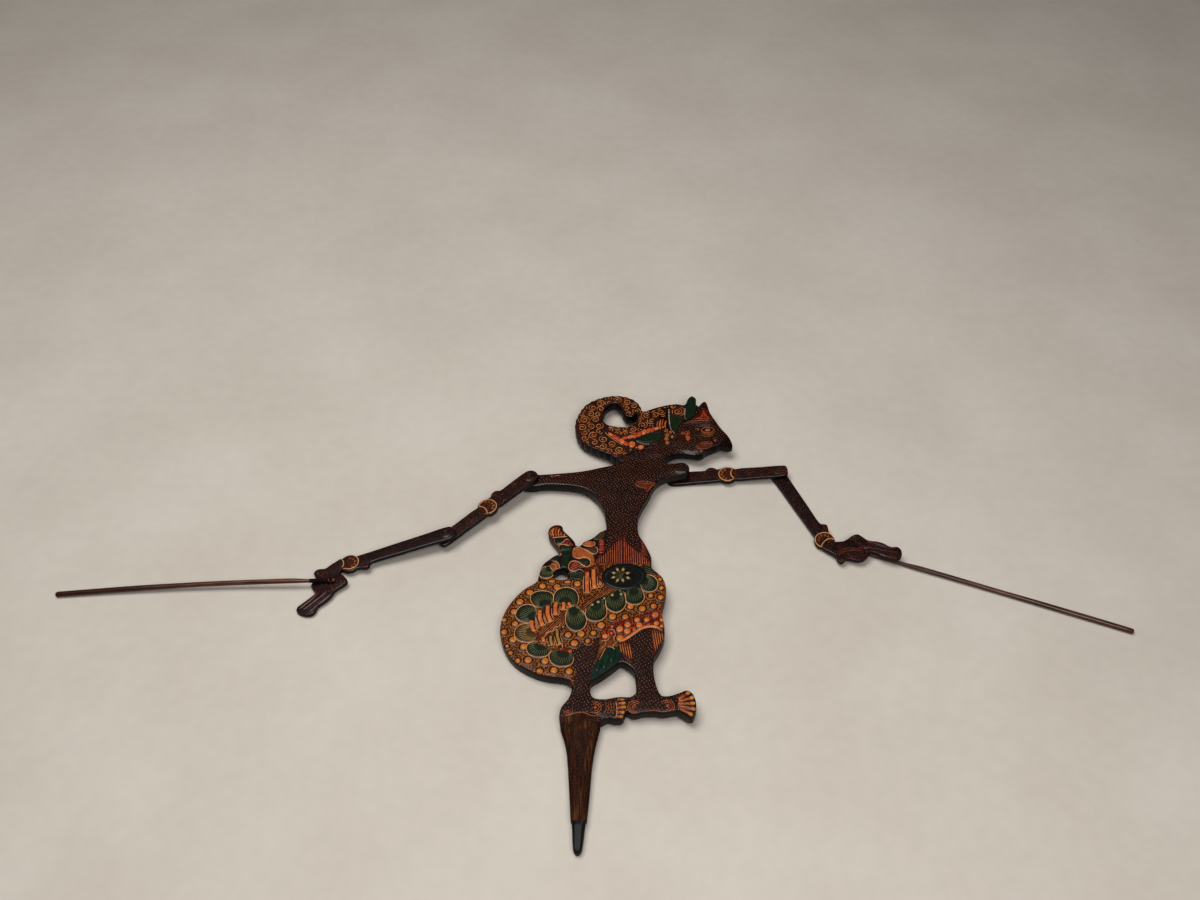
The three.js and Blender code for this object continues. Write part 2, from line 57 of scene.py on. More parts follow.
# The back carries the same carving, mirrored and shallower, and stays above the solid's back
BACK, BACK_SHARE = 0.7, 0.27
ARM_GAPS = {"left": 0.8, "right": 2.35}       # between the board and the upper arm on it or behind it
SHOULDER_LEFT = Vector((-54.0, 400.0, BOARD_THICKNESS + ARM_GAPS["left"]))
ARM_THICKNESS, ARM_FACE, HAND_FACE = 5.0, 4.4, 4.8
ARM_EDGE = 1.1
UPPER_ARM_LENGTH, FOREARM_LENGTH = 108.0, 98.0
LEANS = {"left": -3.16, "right": -1.81}
TURNS = {"left": (222.3, 198.5, 182.5), "right": (2.9, -67.4, -21.3)}
ROD_LEANS = {"left": -3.47, "right": 3.34}
ROD_LENGTH, ROD_INNER_END = 270.0, 4.0
ROD_HAND_RADIUS, ROD_GRIP_RADIUS = 1.8, 2.75
# Holes for the pins, their heads, and the ties in hand and rod, and how deep a head sits in the board and in an arm
PIN_BORE, HEAD_BORE, TIE_BORE, THREAD_BORE = 1.6, 2.7, 1.1, 1.4
BOARD_RECESS, ARM_RECESS = 1.8, 1.5

joint_at = {j["name"]: Vector(j["pos_m"]) for j in frame["joints"]}
board_turn = Matrix.Rotation(BOARD_PITCH, 4, "X") @ Matrix.Rotation(BOARD_ROLL, 4, "Y")
in_mm = Matrix.Diagonal((MM, MM, MM, 1))


def place_of(joint, side, turn, lean=0.0):
    """The flat frame of an arm link or rod, whose origin is its joint."""
    about = Matrix.Rotation(math.radians(LEANS[side]), 4, "Y") @ Matrix.Rotation(math.radians(turn), 4, "Z")
    tip = Matrix.Rotation(math.radians(lean), 4, "Y")
    return Matrix.Translation(joint_at[joint]) @ board_turn @ about @ tip @ in_mm


board_place = Matrix.Translation(joint_at["shoulder_left"] - board_turn @ (SHOULDER_LEFT * MM)) @ board_turn @ in_mm
upper_place = {s: place_of(f"shoulder_{s}", s, TURNS[s][0]) for s in LEANS}
fore_place = {s: place_of(f"elbow_{s}", s, TURNS[s][1]) for s in LEANS}
rod_place = {s: place_of(f"rod_swivel_{s}", s, TURNS[s][2], ROD_LEANS[s]) for s in LEANS}

# Where the left rod turns from reddish to dark along x, in millimetres
LEFT_ROD_HANDLED = [joint_at["rod_swivel_left"].x * 1000 - along for along in (70, 190)]

# The camera stands above the feet and looks down at the puppet on the table
CAMERA_FROM_TIP = Vector((18.863, -427.072)) * MM
CAMERA_HEIGHT = 947.4 * MM
CAMERA_DOWN = math.radians(47.0)
LENS = SENSOR = 36.0


def new_object(name, data):
    """An object that is in the scene."""
    made = bpy.data.objects.new(name, data)
    bpy.context.scene.collection.objects.link(made)
    return made


# ---- materials

UNDERCOAT_GLOSS = 0.08            # the paint under the varnish hardly shines
FACE_SLOPE = (0.75, 0.95)         # dots and flecks fade out on edges, by how far the surface looks up
PATCH_SIZE, PATCH_TONES = 14, (0.55, 0.9)
GRAIN_SIZE, GRAIN_TONES, GRAIN_HEIGHT = 0.9, (0, 0.25), 0.03
SMOOTHER, ROUGHER = -0.08, 0.14
BUMP_STRENGTH = 0.8
VARNISH_SHEEN, DARKEST = 0.004, 0.0012


class Paint:
    """A material built up in coats. Texture places are in millimetres of the shared frame."""

    def __init__(self, name, colour, roughness=0.4, coat=0.35, shine=0.14):
        self.material = bpy.data.materials.new(name)
        self.material.use_nodes = True
        self.tree = self.material.node_tree
        self.shader = self.tree.nodes["Principled BSDF"]
        self.shader.inputs["Coat Weight"].default_value = coat
        self.shader.inputs["Coat Roughness"].default_value = shine
        self.shader.inputs["Specular IOR Level"].default_value = UNDERCOAT_GLOSS
        place = self.add("ShaderNodeTexCoord")
        grow = self.add("ShaderNodeVectorMath", operation="SCALE")
        grow.inputs["Scale"].default_value = 1 / MM
        self.link(place.outputs["Object"], grow.inputs[0])
        self.millimetres = grow.outputs["Vector"]
        base = self.add("ShaderNodeRGB")
        base.outputs[0].default_value = (*colour, 1)
        self.colour = base.outputs[0]
        self.heights = []
        self.roughness = roughness

    def add(self, kind, **settings):
        node = self.tree.nodes.new(kind)
        for name, value in settings.items():
            setattr(node, name, value)
        return node

    def link(self, source, target):
        self.tree.links.new(source, target)

    def stretched(self, scale, turn=0.0):
        """Texture places, turned and with their axes scaled."""
        node = self.add("ShaderNodeMapping", vector_type="TEXTURE")
        node.inputs["Scale"].default_value = [1 / s for s in scale]
        node.inputs["Rotation"].default_value = (0, 0, math.radians(turn))
        self.link(self.millimetres, node.inputs["Vector"])
        return node.outputs["Vector"]

    def noise(self, size, detail=3.0, scale=(1, 1, 1), turn=0.0, low=0.35, high=0.65):
        """Cloudy patches of about this size, 0 to 1."""
        node = self.add("ShaderNodeTexNoise")
        node.inputs["Scale"].default_value = 1 / size
        node.inputs["Detail"].default_value = detail
        self.link(self.stretched(scale, turn), node.inputs["Vector"])
        return self.ramp(node.outputs["Fac"], low, high)

    def cells(self, size, randomness=1.0, scale=(1, 1, 1), turn=0.0):
        """How far a place is from the middle of its cell."""
        node = self.add("ShaderNodeTexVoronoi", voronoi_dimensions="2D")
        node.inputs["Scale"].default_value = 1 / size
        node.inputs["Randomness"].default_value = randomness
        self.link(self.stretched(scale, turn), node.inputs["Vector"])
        return node.outputs["Distance"]

    def specks(self, size, edge, **settings):
        """A spot in each cell, on faces that look up or down."""
        return self.math("MULTIPLY", self.ramp(self.cells(size, **settings), *edge), self.facing_up())

    def ramp(self, value, low, high, to_low=0.0, to_high=1.0):
        """A value's span between low and high, as 0 to 1 or another span."""
        node = self.add("ShaderNodeMapRange")
        for name, number in (("From Min", low), ("From Max", high), ("To Min", to_low), ("To Max", to_high)):
            node.inputs[name].default_value = number
        self.link(value, node.inputs["Value"])
        return node.outputs["Result"]

    def math(self, operation, a, b=None):
        node = self.add("ShaderNodeMath", operation=operation)
        for socket, value in zip(node.inputs, (a, b)):
            if isinstance(value, (int, float)):
                socket.default_value = value
            elif value is not None:
                self.link(value, socket)
        return node.outputs[0]

    def coat(self, mask, colour, amount=1.0):
        """Another colour where the mask is 1."""
        mix = self.add("ShaderNodeMix", data_type="RGBA")
        self.link(mask if amount == 1.0 else self.math("MULTIPLY", mask, amount), mix.inputs["Factor"])
        self.link(self.colour, mix.inputs["A"])
        mix.inputs["B"].default_value = (*colour, 1)
        self.colour = mix.outputs["Result"]
        return mask

    def raise_by(self, mask, millimetres):
        """Bump where the mask is 1."""
        self.heights.append(self.math("MULTIPLY", mask, millimetres))

    def along(self, turn, start, stop):
        """0 to 1 between two places along a direction."""
        split = self.add("ShaderNodeSeparateXYZ")
        self.link(self.stretched((1, 1, 1), turn), split.inputs[0])
        return self.ramp(split.outputs["X"], start, stop)

    def facing_up(self):
        """1 on faces that look up or down, 0 on sides."""
        normal = self.add("ShaderNodeNewGeometry").outputs["Normal"]
        split = self.add("ShaderNodeSeparateXYZ")
        self.link(normal, split.inputs[0])
        return self.ramp(self.math("ABSOLUTE", split.outputs["Z"]), *FACE_SLOPE)

    def done(self, rub=0.5):
        """Adds what every paint has, patches, a fine grain and its bump, and joins it to the shader."""
        patchy = self.noise(PATCH_SIZE, 4)
        fine = self.noise(GRAIN_SIZE, 2)
        toned = self.add("ShaderNodeMix", data_type="RGBA", blend_type="MULTIPLY")
        toned.inputs["Factor"].default_value = rub
        tone = self.add("ShaderNodeCombineColor")
        level = self.math("ADD", self.ramp(patchy, 0, 1, *PATCH_TONES), self.ramp(fine, 0, 1, *GRAIN_TONES))
        for socket in tone.inputs:
            self.link(level, socket)
        self.link(self.colour, toned.inputs["A"])
        self.link(tone.outputs[0], toned.inputs["B"])
        self.link(toned.outputs["Result"], self.shader.inputs["Base Color"])
        spread = self.roughness + SMOOTHER, self.roughness + ROUGHER
        self.link(self.ramp(self.math("ADD", patchy, fine), 0, 2, *spread), self.shader.inputs["Roughness"])
        self.raise_by(fine, GRAIN_HEIGHT)
        total = self.heights[0]
        for more in self.heights[1:]:
            total = self.math("ADD", total, more)
        bump = self.add("ShaderNodeBump")
        bump.inputs["Strength"].default_value = BUMP_STRENGTH
        bump.inputs["Distance"].default_value = MM
        self.link(total, bump.inputs["Height"])
        self.link(bump.outputs["Normal"], self.shader.inputs["Normal"])
        return self.material


def shade(r, g, b):
    """A colour as the photograph's light shows it, 0 to 255, less the varnish's sheen."""
    return tuple(max(((c / 255 + 0.055) / 1.055) ** 2.4 - VARNISH_SHEEN, DARKEST) for c in (r, g, b))


def skin_paint():
    """Near-black brown, set with small golden dots."""
    p = Paint("skin_paint", shade(27, 12, 7), 0.47, 0.27, 0.14)
    p.coat(p.noise(22, 3), shade(39, 19, 12))
    dots = p.specks(3.0, (0.165, 0.08), randomness=0.45, turn=31)
    worn = p.math("MULTIPLY", dots, p.ramp(p.noise(9, 2), 0, 1, 0.45, 1))
    p.coat(worn, shade(178, 121, 73), 0.88)
    p.raise_by(dots, 0.12)
    p.raise_by(p.noise(11, 2), 0.3)
    return p.done()


def flecked(name, colour, second, fleck, size=1.9):
    """A painted ground with small dark flecks cut into it."""
    p = Paint(name, shade(*colour), 0.42, 0.3)
    p.coat(p.noise(8, 3), shade(*second))
    flecks = p.specks(size, (0.5, 0.36), randomness=0.75)
    p.coat(flecks, shade(*fleck), 0.95)
    p.raise_by(flecks, -0.25)
    return p.done()


def hair_ground():
    """The dark brown ground under the curls, with faint strands."""
    p = Paint("hair_ground", shade(36, 18, 12), 0.42)
    p.coat(p.noise(20, 3), shade(62, 30, 17))
    strands = p.noise(1.2, 2, (1, 0.3, 1), 30, 0.5, 0.62)
    p.coat(strands, shade(24, 12, 9), 0.5)
    p.raise_by(strands, -0.08)
    return p.done()


def flat_paint(name, colour, second, size=4.0, roughness=0.4, coat=0.28):
    """One colour with patches of a second, of about this size."""
    p = Paint(name, shade(*colour), roughness, coat)
    p.coat(p.noise(size, 4), shade(*second))
    return p.done()


def streaked_paint(name, colour, second, gap, turn):
    """Painted with fine strokes side by side."""
    p = Paint(name, shade(*colour), 0.42)
    strokes = p.noise(gap * 0.6, 1, (1, 0.12, 0.12), turn, 0.42, 0.58)
    p.coat(strokes, shade(*second), 0.8)
    p.raise_by(strokes, 0.12)
    return p.done()


def arm_paint(name, colour, second, scales, fleck):
    """Dark lacquer with rows of short scaly strokes, and a few paler flecks where they are rubbed."""
    p = Paint(name, shade(*colour), 0.45, 0.35, 0.2)
    p.coat(p.noise(7, 4), shade(*second))
    marks = p.specks(1.45, (0.36, 0.2), randomness=0.6, scale=(1, 0.45, 1), turn=24)
    marks = p.math("MULTIPLY", marks, p.ramp(p.noise(5, 2), 0, 1, 0.3, 1))
    p.coat(marks, shade(*scales), fleck)
    rubbed = p.math("MULTIPLY", p.specks(2.7, (0.15, 0.08), randomness=0.9), p.noise(9, 2, low=0.45, high=0.6))
    p.coat(rubbed, shade(168, 112, 76), fleck)
    p.raise_by(marks, 0.12)
    return p.done()


ALONG_X, ALONG_Y, NO_GRAIN = (0.05, 1, 1), (1, 0.06, 1), (1, 1, 1)
HANDLED_TONE, PORE_TONE = 0.62, 0.5         # of the wood's own colour


def wood_stain(name, colour, second, along, roughness, turn=0.0, coat=0.4, handled=None, rubbed=None):
    """Stained wood with its grain along a direction.

    Handling has darkened it between two places along x, or rubbed it to a paler colour, where these are given.
    """
    p = Paint(name, shade(*colour), roughness, coat, 0.2)
    grain = p.noise(1.6, 4, along, turn, 0.35, 0.7)
    p.coat(grain, shade(*second), 0.85)
    if rubbed:
        patches = p.math("MULTIPLY", p.noise(16, 3, low=0.4, high=0.6), p.facing_up())
        p.coat(p.math("MULTIPLY", p.noise(2.2, 4, along, turn, 0.5, 0.7), patches), shade(*rubbed), 0.6)
        p.coat(p.specks(1.7, (0.16, 0.07)), shade(*rubbed), 0.7)
    if handled:
        p.coat(p.along(0, *handled), shade(*(c * HANDLED_TONE for c in colour)), 0.75)
    pores = p.noise(0.7, 2, along, turn, 0.56, 0.66)
    p.coat(pores, shade(*(c * PORE_TONE for c in colour)), 0.7)
    p.raise_by(grain, 0.12)
    p.raise_by(pores, -0.1)
    return p.done()


# Each plain paint's colour, its patches' colour and size, and its roughness and varnish where these differ
PLAIN = {
    "side": ((22, 13, 12), (13, 9, 9), 9, 0.45, 0.1),
    "edge": ((22, 12, 10), (38, 20, 14), 4, 0.36, 0.8),
    "green": ((28, 36, 24), (19, 27, 18), 4),
    "leaf": ((28, 40, 24), (20, 30, 18), 4),
    "cloth": ((24, 46, 33), (18, 31, 25), 7, 0.5, 0.15),
    "olive": ((74, 54, 26), (54, 42, 22), 4),
    "hatch": ((104, 100, 60), (72, 74, 42), 3),
    "belt": ((20, 22, 20), (14, 16, 15), 5),
    "piping": ((220, 158, 106), (190, 122, 76), 3),
    "bead": ((200, 122, 42), (164, 88, 30), 2.5),
    "ember": ((192, 78, 40), (150, 48, 26), 3),
    "amber": ((208, 120, 62), (182, 86, 44), 3),
    "pleat": ((204, 112, 72), (158, 74, 46), 3),
    "rust": ((74, 25, 15), (52, 17, 11), 3),
    "brown": ((116, 62, 29), (80, 38, 19), 3),
    "cream": ((182, 152, 94), (146, 112, 64), 2),
    "straw": ((178, 134, 66), (140, 94, 44), 2),
    "curl": ((204, 126, 66), (156, 86, 42), 3),
    "ochre": ((168, 90, 44), (122, 58, 28), 3),
    "umber": ((96, 42, 24), (66, 27, 16), 3),
    "white": ((214, 204, 180), (180, 166, 140), 2),
    "band": ((40, 21, 13), (70, 36, 18), 2.5),
}
paints = {name: flat_paint(f"{name}_paint", *settings) for name, settings in PLAIN.items()} | {
    "skin": skin_paint(),
    "gold": flecked("gold_ground", (150, 84, 28), (112, 56, 20), (30, 14, 8), 2.2),
    "sash": flecked("sash_ground", (160, 66, 26), (130, 42, 18), (50, 16, 9), 2.2),
    "hair": hair_ground(),
    "black": flat_paint("outline_paint", (26, 13, 10), (38, 18, 12), 3),
    "fold": streaked_paint("fold_paint", (158, 82, 38), (104, 44, 23), 1.6, 60),
    "arm": arm_paint("arm_paint", (18, 9, 8), (27, 12, 10), (98, 46, 30), 0.75),
    "forearm": arm_paint("forearm_paint", (20, 9, 9), (29, 13, 12), (76, 36, 27), 0.5),
    "palm": arm_paint("palm_paint", (20, 10, 9), (33, 14, 12), (86, 38, 27), 0.5),
    "finger": streaked_paint("finger_paint", (74, 28, 20), (34, 14, 11), 1.3, 35),
    "spike": wood_stain("spike_stain", (30, 17, 11), (58, 32, 18), ALONG_Y, 0.72, coat=0.0, rubbed=(132, 80, 44)),
    "tip": wood_stain("tip_stain", (15, 9, 8), (26, 16, 14), ALONG_Y, 0.5, coat=0.1),
    "rod_left": wood_stain("left_rod_stain", (58, 30, 21), (124, 72, 46), ALONG_X, 0.4, 2.5, 0.45, LEFT_ROD_HANDLED),
    "rod_right": wood_stain("right_rod_stain", (48, 26, 21), (104, 62, 46), ALONG_X, 0.4, -21.3, 0.6),
    "pin": wood_stain("pin_stain", (40, 26, 20), (72, 48, 36), NO_GRAIN, 0.5),
    "thread": flat_paint("tie_thread", (18, 15, 14), (30, 25, 23), 1, 0.75, 0.0),
}


# ---- shapes in a flat frame, in millimetres

def smooth(points, closed=False, steps=6):
    """A smooth path through the points, evenly cut between them."""
    points = [Vector(p[:2]) for p in points]
    count = len(points)
    if count < 3 and not closed:
        return [points[0].lerp(points[-1], i / 4) for i in range(5)]
    path = []
    spans = count if closed else count - 1
    for i in range(spans):
        if closed:
            a, b, c, d = (points[(i + k) % count] for k in (-1, 0, 1, 2))
        else:
            b, c = points[i], points[i + 1]
            a = points[i - 1] if i else b * 2 - c
            d = points[i + 2] if i + 2 < count else c * 2 - b
        t1 = max((b - a).length, 1e-6) ** 0.5
        t2 = t1 + max((c - b).length, 1e-6) ** 0.5
        t3 = t2 + max((d - c).length, 1e-6) ** 0.5
        for k in range(steps):
            t = t1 + (t2 - t1) * k / steps
            p1 = a.lerp(b, t / t1)
            p2 = b.lerp(c, (t - t1) / (t2 - t1))
            p3 = c.lerp(d, (t - t2) / (t3 - t2))
            q1 = p1.lerp(p2, t / t2)
            q2 = p2.lerp(p3, (t - t1) / (t3 - t1))
            path.append(q1.lerp(q2, (t - t1) / (t2 - t1)))
    if not closed:
        path.append(points[-1].copy())
    return path


def oval(x, y, rx, ry=None, turn=0.0, count=24):
    """Points round an oval."""
    ry = rx if ry is None else ry
    c, s = math.cos(math.radians(turn)), math.sin(math.radians(turn))
    ring = []
    for i in range(count):
        a = 2 * math.pi * i / count
        u, v = rx * math.cos(a), ry * math.sin(a)
        ring.append(Vector((x + u * c - v * s, y + u * s + v * c)))
    return ring


def arc(x, y, radius, start, stop, count=7):
    """Points on an arc between two angles in degrees."""
    angles = [math.radians(start + (stop - start) * i / (count - 1)) for i in range(count)]
    return [(x + radius * math.cos(a), y + radius * math.sin(a)) for a in angles]


def inside(x, y, ring):
    """Whether a place lies within a closed path."""
    odd = False
    for a, b in zip(ring, ring[1:] + ring[:1]):
        if (a.y > y) != (b.y > y) and x < a.x + (b.x - a.x) * (y - a.y) / (b.y - a.y):
            odd = not odd
    return odd


def normals(path, closed):
    """The path's left-hand normals."""
    count = len(path)
    found = []
    for i in range(count):
        before = path[i - 1] if closed or i else path[i]
        after = path[(i + 1) % count] if closed or i < count - 1 else path[i]
        way = after - before
        way = way.normalized() if way.length > 1e-9 else Vector((1, 0))
        found.append(Vector((-way.y, way.x)))
    return found


def area(ring):
    """A closed path's area, which is negative where it runs clockwise."""
    return sum(a.x * b.y - b.x * a.y for a, b in zip(ring, ring[1:] + ring[:1])) / 2


def spaced(path, gap):
    """Places along a path about every so many millimetres."""
    found, carried = [], 0.0
    for a, b in zip(path, path[1:]):
        length = (b - a).length
        while length > 0 and carried <= length:
            found.append(a.lerp(b, carried / length))
            carried += gap
        carried -= length
    return found


RIM_MARGIN = 0.3           # carving keeps this far inside the outline
SUNK = 0.15                # how deep a raised line or bead stands in what carries it


class Rim:
    """How far a flat part's rounded edge falls away near its outlines."""

    def __init__(self, outlines, edge):
        self.edge, self.spots = edge, []
        for k, outline in enumerate(outlines):
            ring = smooth(outline, True, 8)
            if (area(ring) < 0) == (k == 0):
                ring.reverse()
            self.spots += zip(ring, normals(ring, True))
        self.tree = KDTree(len(self.spots))
        for i, (spot, _) in enumerate(self.spots):
            self.tree.insert((spot.x, spot.y, 0), i)
        self.tree.balance()

    def deep(self, x, y):
        """How far inside the outline a place is, and the way inward."""
        spot, inward = self.spots[self.tree.find((x, y, 0))[1]]
        return (x - spot.x) * inward.x + (y - spot.y) * inward.y, inward

    def fit(self, point):
        """The point moved in from outside the outline and down onto the rounded edge."""
        x, y, z = point
        deep, inward = self.deep(x, y)
        if deep >= self.edge:
            return point
        shift = max(0.0, RIM_MARGIN - deep)
        deep = max(deep, RIM_MARGIN)
        fall = EDGE_FLATNESS * (self.edge - math.sqrt(self.edge ** 2 - (self.edge - deep) ** 2))
        return x + inward.x * shift, y + inward.y * shift, z - fall


def behind(z):
    """The height on the back that answers to a height on the face."""
    return BACK - (z - BOARD_THICKNESS) * BACK_SHARE


class Relief:
    """One named piece made of many small raised shapes of one colour."""

    def __init__(self, name, paint, place=None, body="board", slot="painted_board", rim=None):
        self.name, self.paint, self.place, self.rim = name, paint, place or board_place, rim
        self.body, self.slot = body, slot
        self.points, self.faces, self.soft = [], [], []

    def skin(self, rings, cap=True):
        """Faces between rings of points, and a lid on the last ring."""
        start, width = len(self.points), len(rings[0])
        for ring in rings:
            self.points.extend(ring)
        for r in range(len(rings) - 1):
            for i in range(width):
                a = start + r * width + i
                b = start + r * width + (i + 1) % width
                self.faces.append((a, b, b + width, a + width))
                self.soft.append(True)
        if cap:
            last = start + (len(rings) - 1) * width
            self.faces.append(tuple(range(last, last + width)))
            self.soft.append(True)

    def ridge(self, points, width, height, z, closed=False, taper=1.0, steps=5, sides=4):
        """A rounded raised line, whose ends narrow by its taper."""
        path = smooth(points, closed, steps)
        count, start, row = len(path), len(self.points), sides + 1
        for i, (p, n) in enumerate(zip(path, normals(path, closed))):
            from_end = min(i, count - 1 - i) + 0.35
            share = 1.0 if closed else min(1.0, from_end / max(1, count * 0.16) + 1 - taper)
            for k in range(row):
                a = math.pi * k / sides
                off = p + n * (width / 2 * math.cos(a) * share)
                self.points.append((off.x, off.y, z - SUNK + (height + SUNK) * math.sin(a) * share))
        for i in range(count if closed else count - 1):
            j = (i + 1) % count
            for k in range(sides):
                a, b = start + i * row + k, start + j * row + k
                self.faces.append((a, a + 1, b + 1, b))
                self.soft.append(True)

    def stroke(self, points, width, height, z):
        """A short raised line with few faces."""
        self.ridge(points, width, height, z, steps=2, sides=2)

    def bead(self, x, y, rx, height, z, ry=None, turn=0.0, count=14):
        """A low dome."""
        rings = []
        for level in (0, 0.35, 0.68, 0.92):
            shrink = math.sqrt(1 - level * level) if level else 1
            ring = oval(x, y, rx * shrink, (ry or rx) * shrink, turn, count)
            rings.append([(p.x, p.y, z - (0 if level else SUNK) + height * level) for p in ring])
        self.skin(rings)

    def pad(self, outline, height, z, edge=0.6, steps=5):
        """A raised patch with a rounded edge."""
        ring = smooth(outline, True, steps)
        if area(ring) < 0:
            ring.reverse()
        side = normals(ring, True)
        rings = []
        for inset, up in ((0, -2 * SUNK), (0, 0.45 * height), (0.3 * edge, 0.82 * height), (edge, height)):
            rings.append([(p.x + n.x * inset, p.y + n.y * inset, z + up) for p, n in zip(ring, side)])
        self.skin(rings, cap=False)
        top = rings[-1]
        last = len(self.points) - len(top)
        for triangle in tessellate_polygon([[Vector(p) for p in top]]):
            a, b, c = (Vector(top[i]) for i in triangle)
            flip = (b - a).cross(c - a).z < 0
            self.faces.append(tuple(last + i for i in (reversed(triangle) if flip else triangle)))
            self.soft.append(False)

    def spiral(self, x, y, radius, z, turns=2.2, start=0.0, way=1, width=0.75, height=0.45):
        """A raised scroll, from its middle outward."""
        steps = int(10 * turns)
        path = []
        for i in range(steps + 1):
            t = i / steps
            a = math.radians(start) + way * 2 * math.pi * turns * t
            r = radius * (0.12 + 0.88 * t)
            path.append((x + r * math.cos(a), y + r * math.sin(a)))
        self.ridge(path, width, height, z, steps=2, sides=3)

    def make(self):
        """The piece itself. On the board, each shape is also set on the back."""
        mesh = bpy.data.meshes.new(self.name)
        points = [self.rim.fit(p) for p in self.points] if self.rim else self.points
        faces, soft = self.faces, self.soft
        if self.body == "board":
            count = len(points)
            points = points + [(x, y, behind(z)) for x, y, z in points]
            faces = faces + [tuple(i + count for i in reversed(face)) for face in faces]
            soft = soft * 2
        mesh.from_pydata(points, [], faces)
        mesh.polygons.foreach_set("use_smooth", soft)
        mesh.transform(self.place)
        mesh.materials.append(paints[self.paint])
        piece = new_object(self.name, mesh)
        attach(piece, self.body)


# ---- the carved board

BOARD_OUTLINE = [
    # neck, shoulder and the stub that carries the left arm
    (42, 422), (36, 420), (20, 416), (1, 411.5), (-25, 409), (-45, 408), (-54, 408.5), (-60, 406.3), (-62.5, 400),
    (-60, 393.7), (-52, 392), (-38, 393.5), (-20, 392.5), (0, 388.5), (10, 382), (18, 371), (23, 358), (25, 345),
    (25, 333),
    # bustle
    (19, 329), (12, 322), (3, 317), (-1, 312), (-4, 312.5), (-6, 318), (-12, 326), (-17, 332), (-19, 338),
    (-25, 339.5), (-31, 336), (-32.5, 329), (-29, 322), (-23, 313), (-19, 303.5), (-25, 301), (-31, 296), (-36, 291),
    (-39, 284), (-40.5, 276), (-41.5, 270.5),
    # skirt
    (-54, 261), (-65, 247), (-72, 232), (-74.5, 216), (-71, 199), (-62.5, 184), (-49, 172.5), (-29, 164),
    (-14, 161.5),
    # left leg and foot
    (-7, 158), (-6.5, 149), (-10, 140), (-15, 133), (-16.8, 126), (-16, 118), (-10, 115), (8, 115), (19, 117),
    (26, 120.5), (33, 119), (39, 120.5), (42.5, 127),
    # right foot and leg
    (48, 124.5), (60, 126.5), (75, 125.5), (88, 126.5), (95, 122), (100, 119.5), (104, 127), (104.5, 136), (102, 144),
    (97, 147.5), (90, 145), (80, 142), (74, 143), (70.5, 151), (68, 165), (68.5, 180),
    # hip, chest and the stub that carries the right arm
    (74, 191), (78.5, 203), (79.5, 214), (77.5, 233), (81, 247), (82.5, 261), (79, 273), (70, 283.5), (69.5, 297),
    (64, 313), (58, 326), (57, 338), (58, 350), (62.5, 362), (69, 375), (73, 385), (79, 394.5), (88, 400.5),
    (100, 404), (110, 406.5), (112.5, 413), (108, 420), (96, 419.5),
    # chin, face and crown
    (86, 420), (89, 427), (97, 432.5), (108, 434), (120, 431.5), (127, 432), (131, 436.5), (137, 440), (142, 441.5),
    (148, 444.5), (154, 442), (159.5, 443.5), (158.5, 451), (149, 468), (143, 481), (139, 490), (137, 500),
    (135, 507), (131, 507), (127, 502.5), (124.5, 503), (124.5, 513), (120, 516.5), (115.5, 512), (112, 504),
    (103, 505.5), (92, 504), (80, 500.5), (70, 496.5), (65.5, 496),
]
HAIR_EDGE = [(65.5, 496), (63, 504), (58, 511.5), (49, 517.5), (38, 520), (26, 519), (13, 514), (3, 506), (-3, 495),
    (-7.2, 481), (-6.8, 468), (-3, 456), (6, 446.5), (20, 438), (32, 431.5), (42, 422)]
HAIR_WINDOW = [(59, 492), (55, 488), (48.5, 488), (44, 493), (42, 502), (36, 509), (28, 505), (24, 497), (23, 483),
    (27, 477), (37, 474), (48, 473), (57, 477)]
LEG_GAP = [(11, 157), (10.2, 149), (13, 142), (22, 140), (36, 142), (46, 142), (51, 146), (51.5, 156), (49.5, 169),
    (44, 175), (38, 177.5), (31, 172), (20, 163.5)]
BUSTLE_HOLE = [(-24, 272.5), (-13, 272.5), (-11.5, 276), (-12, 281), (-15, 284.8), (-20, 284.5), (-25, 281.5),
    (-25.5, 275.5)]

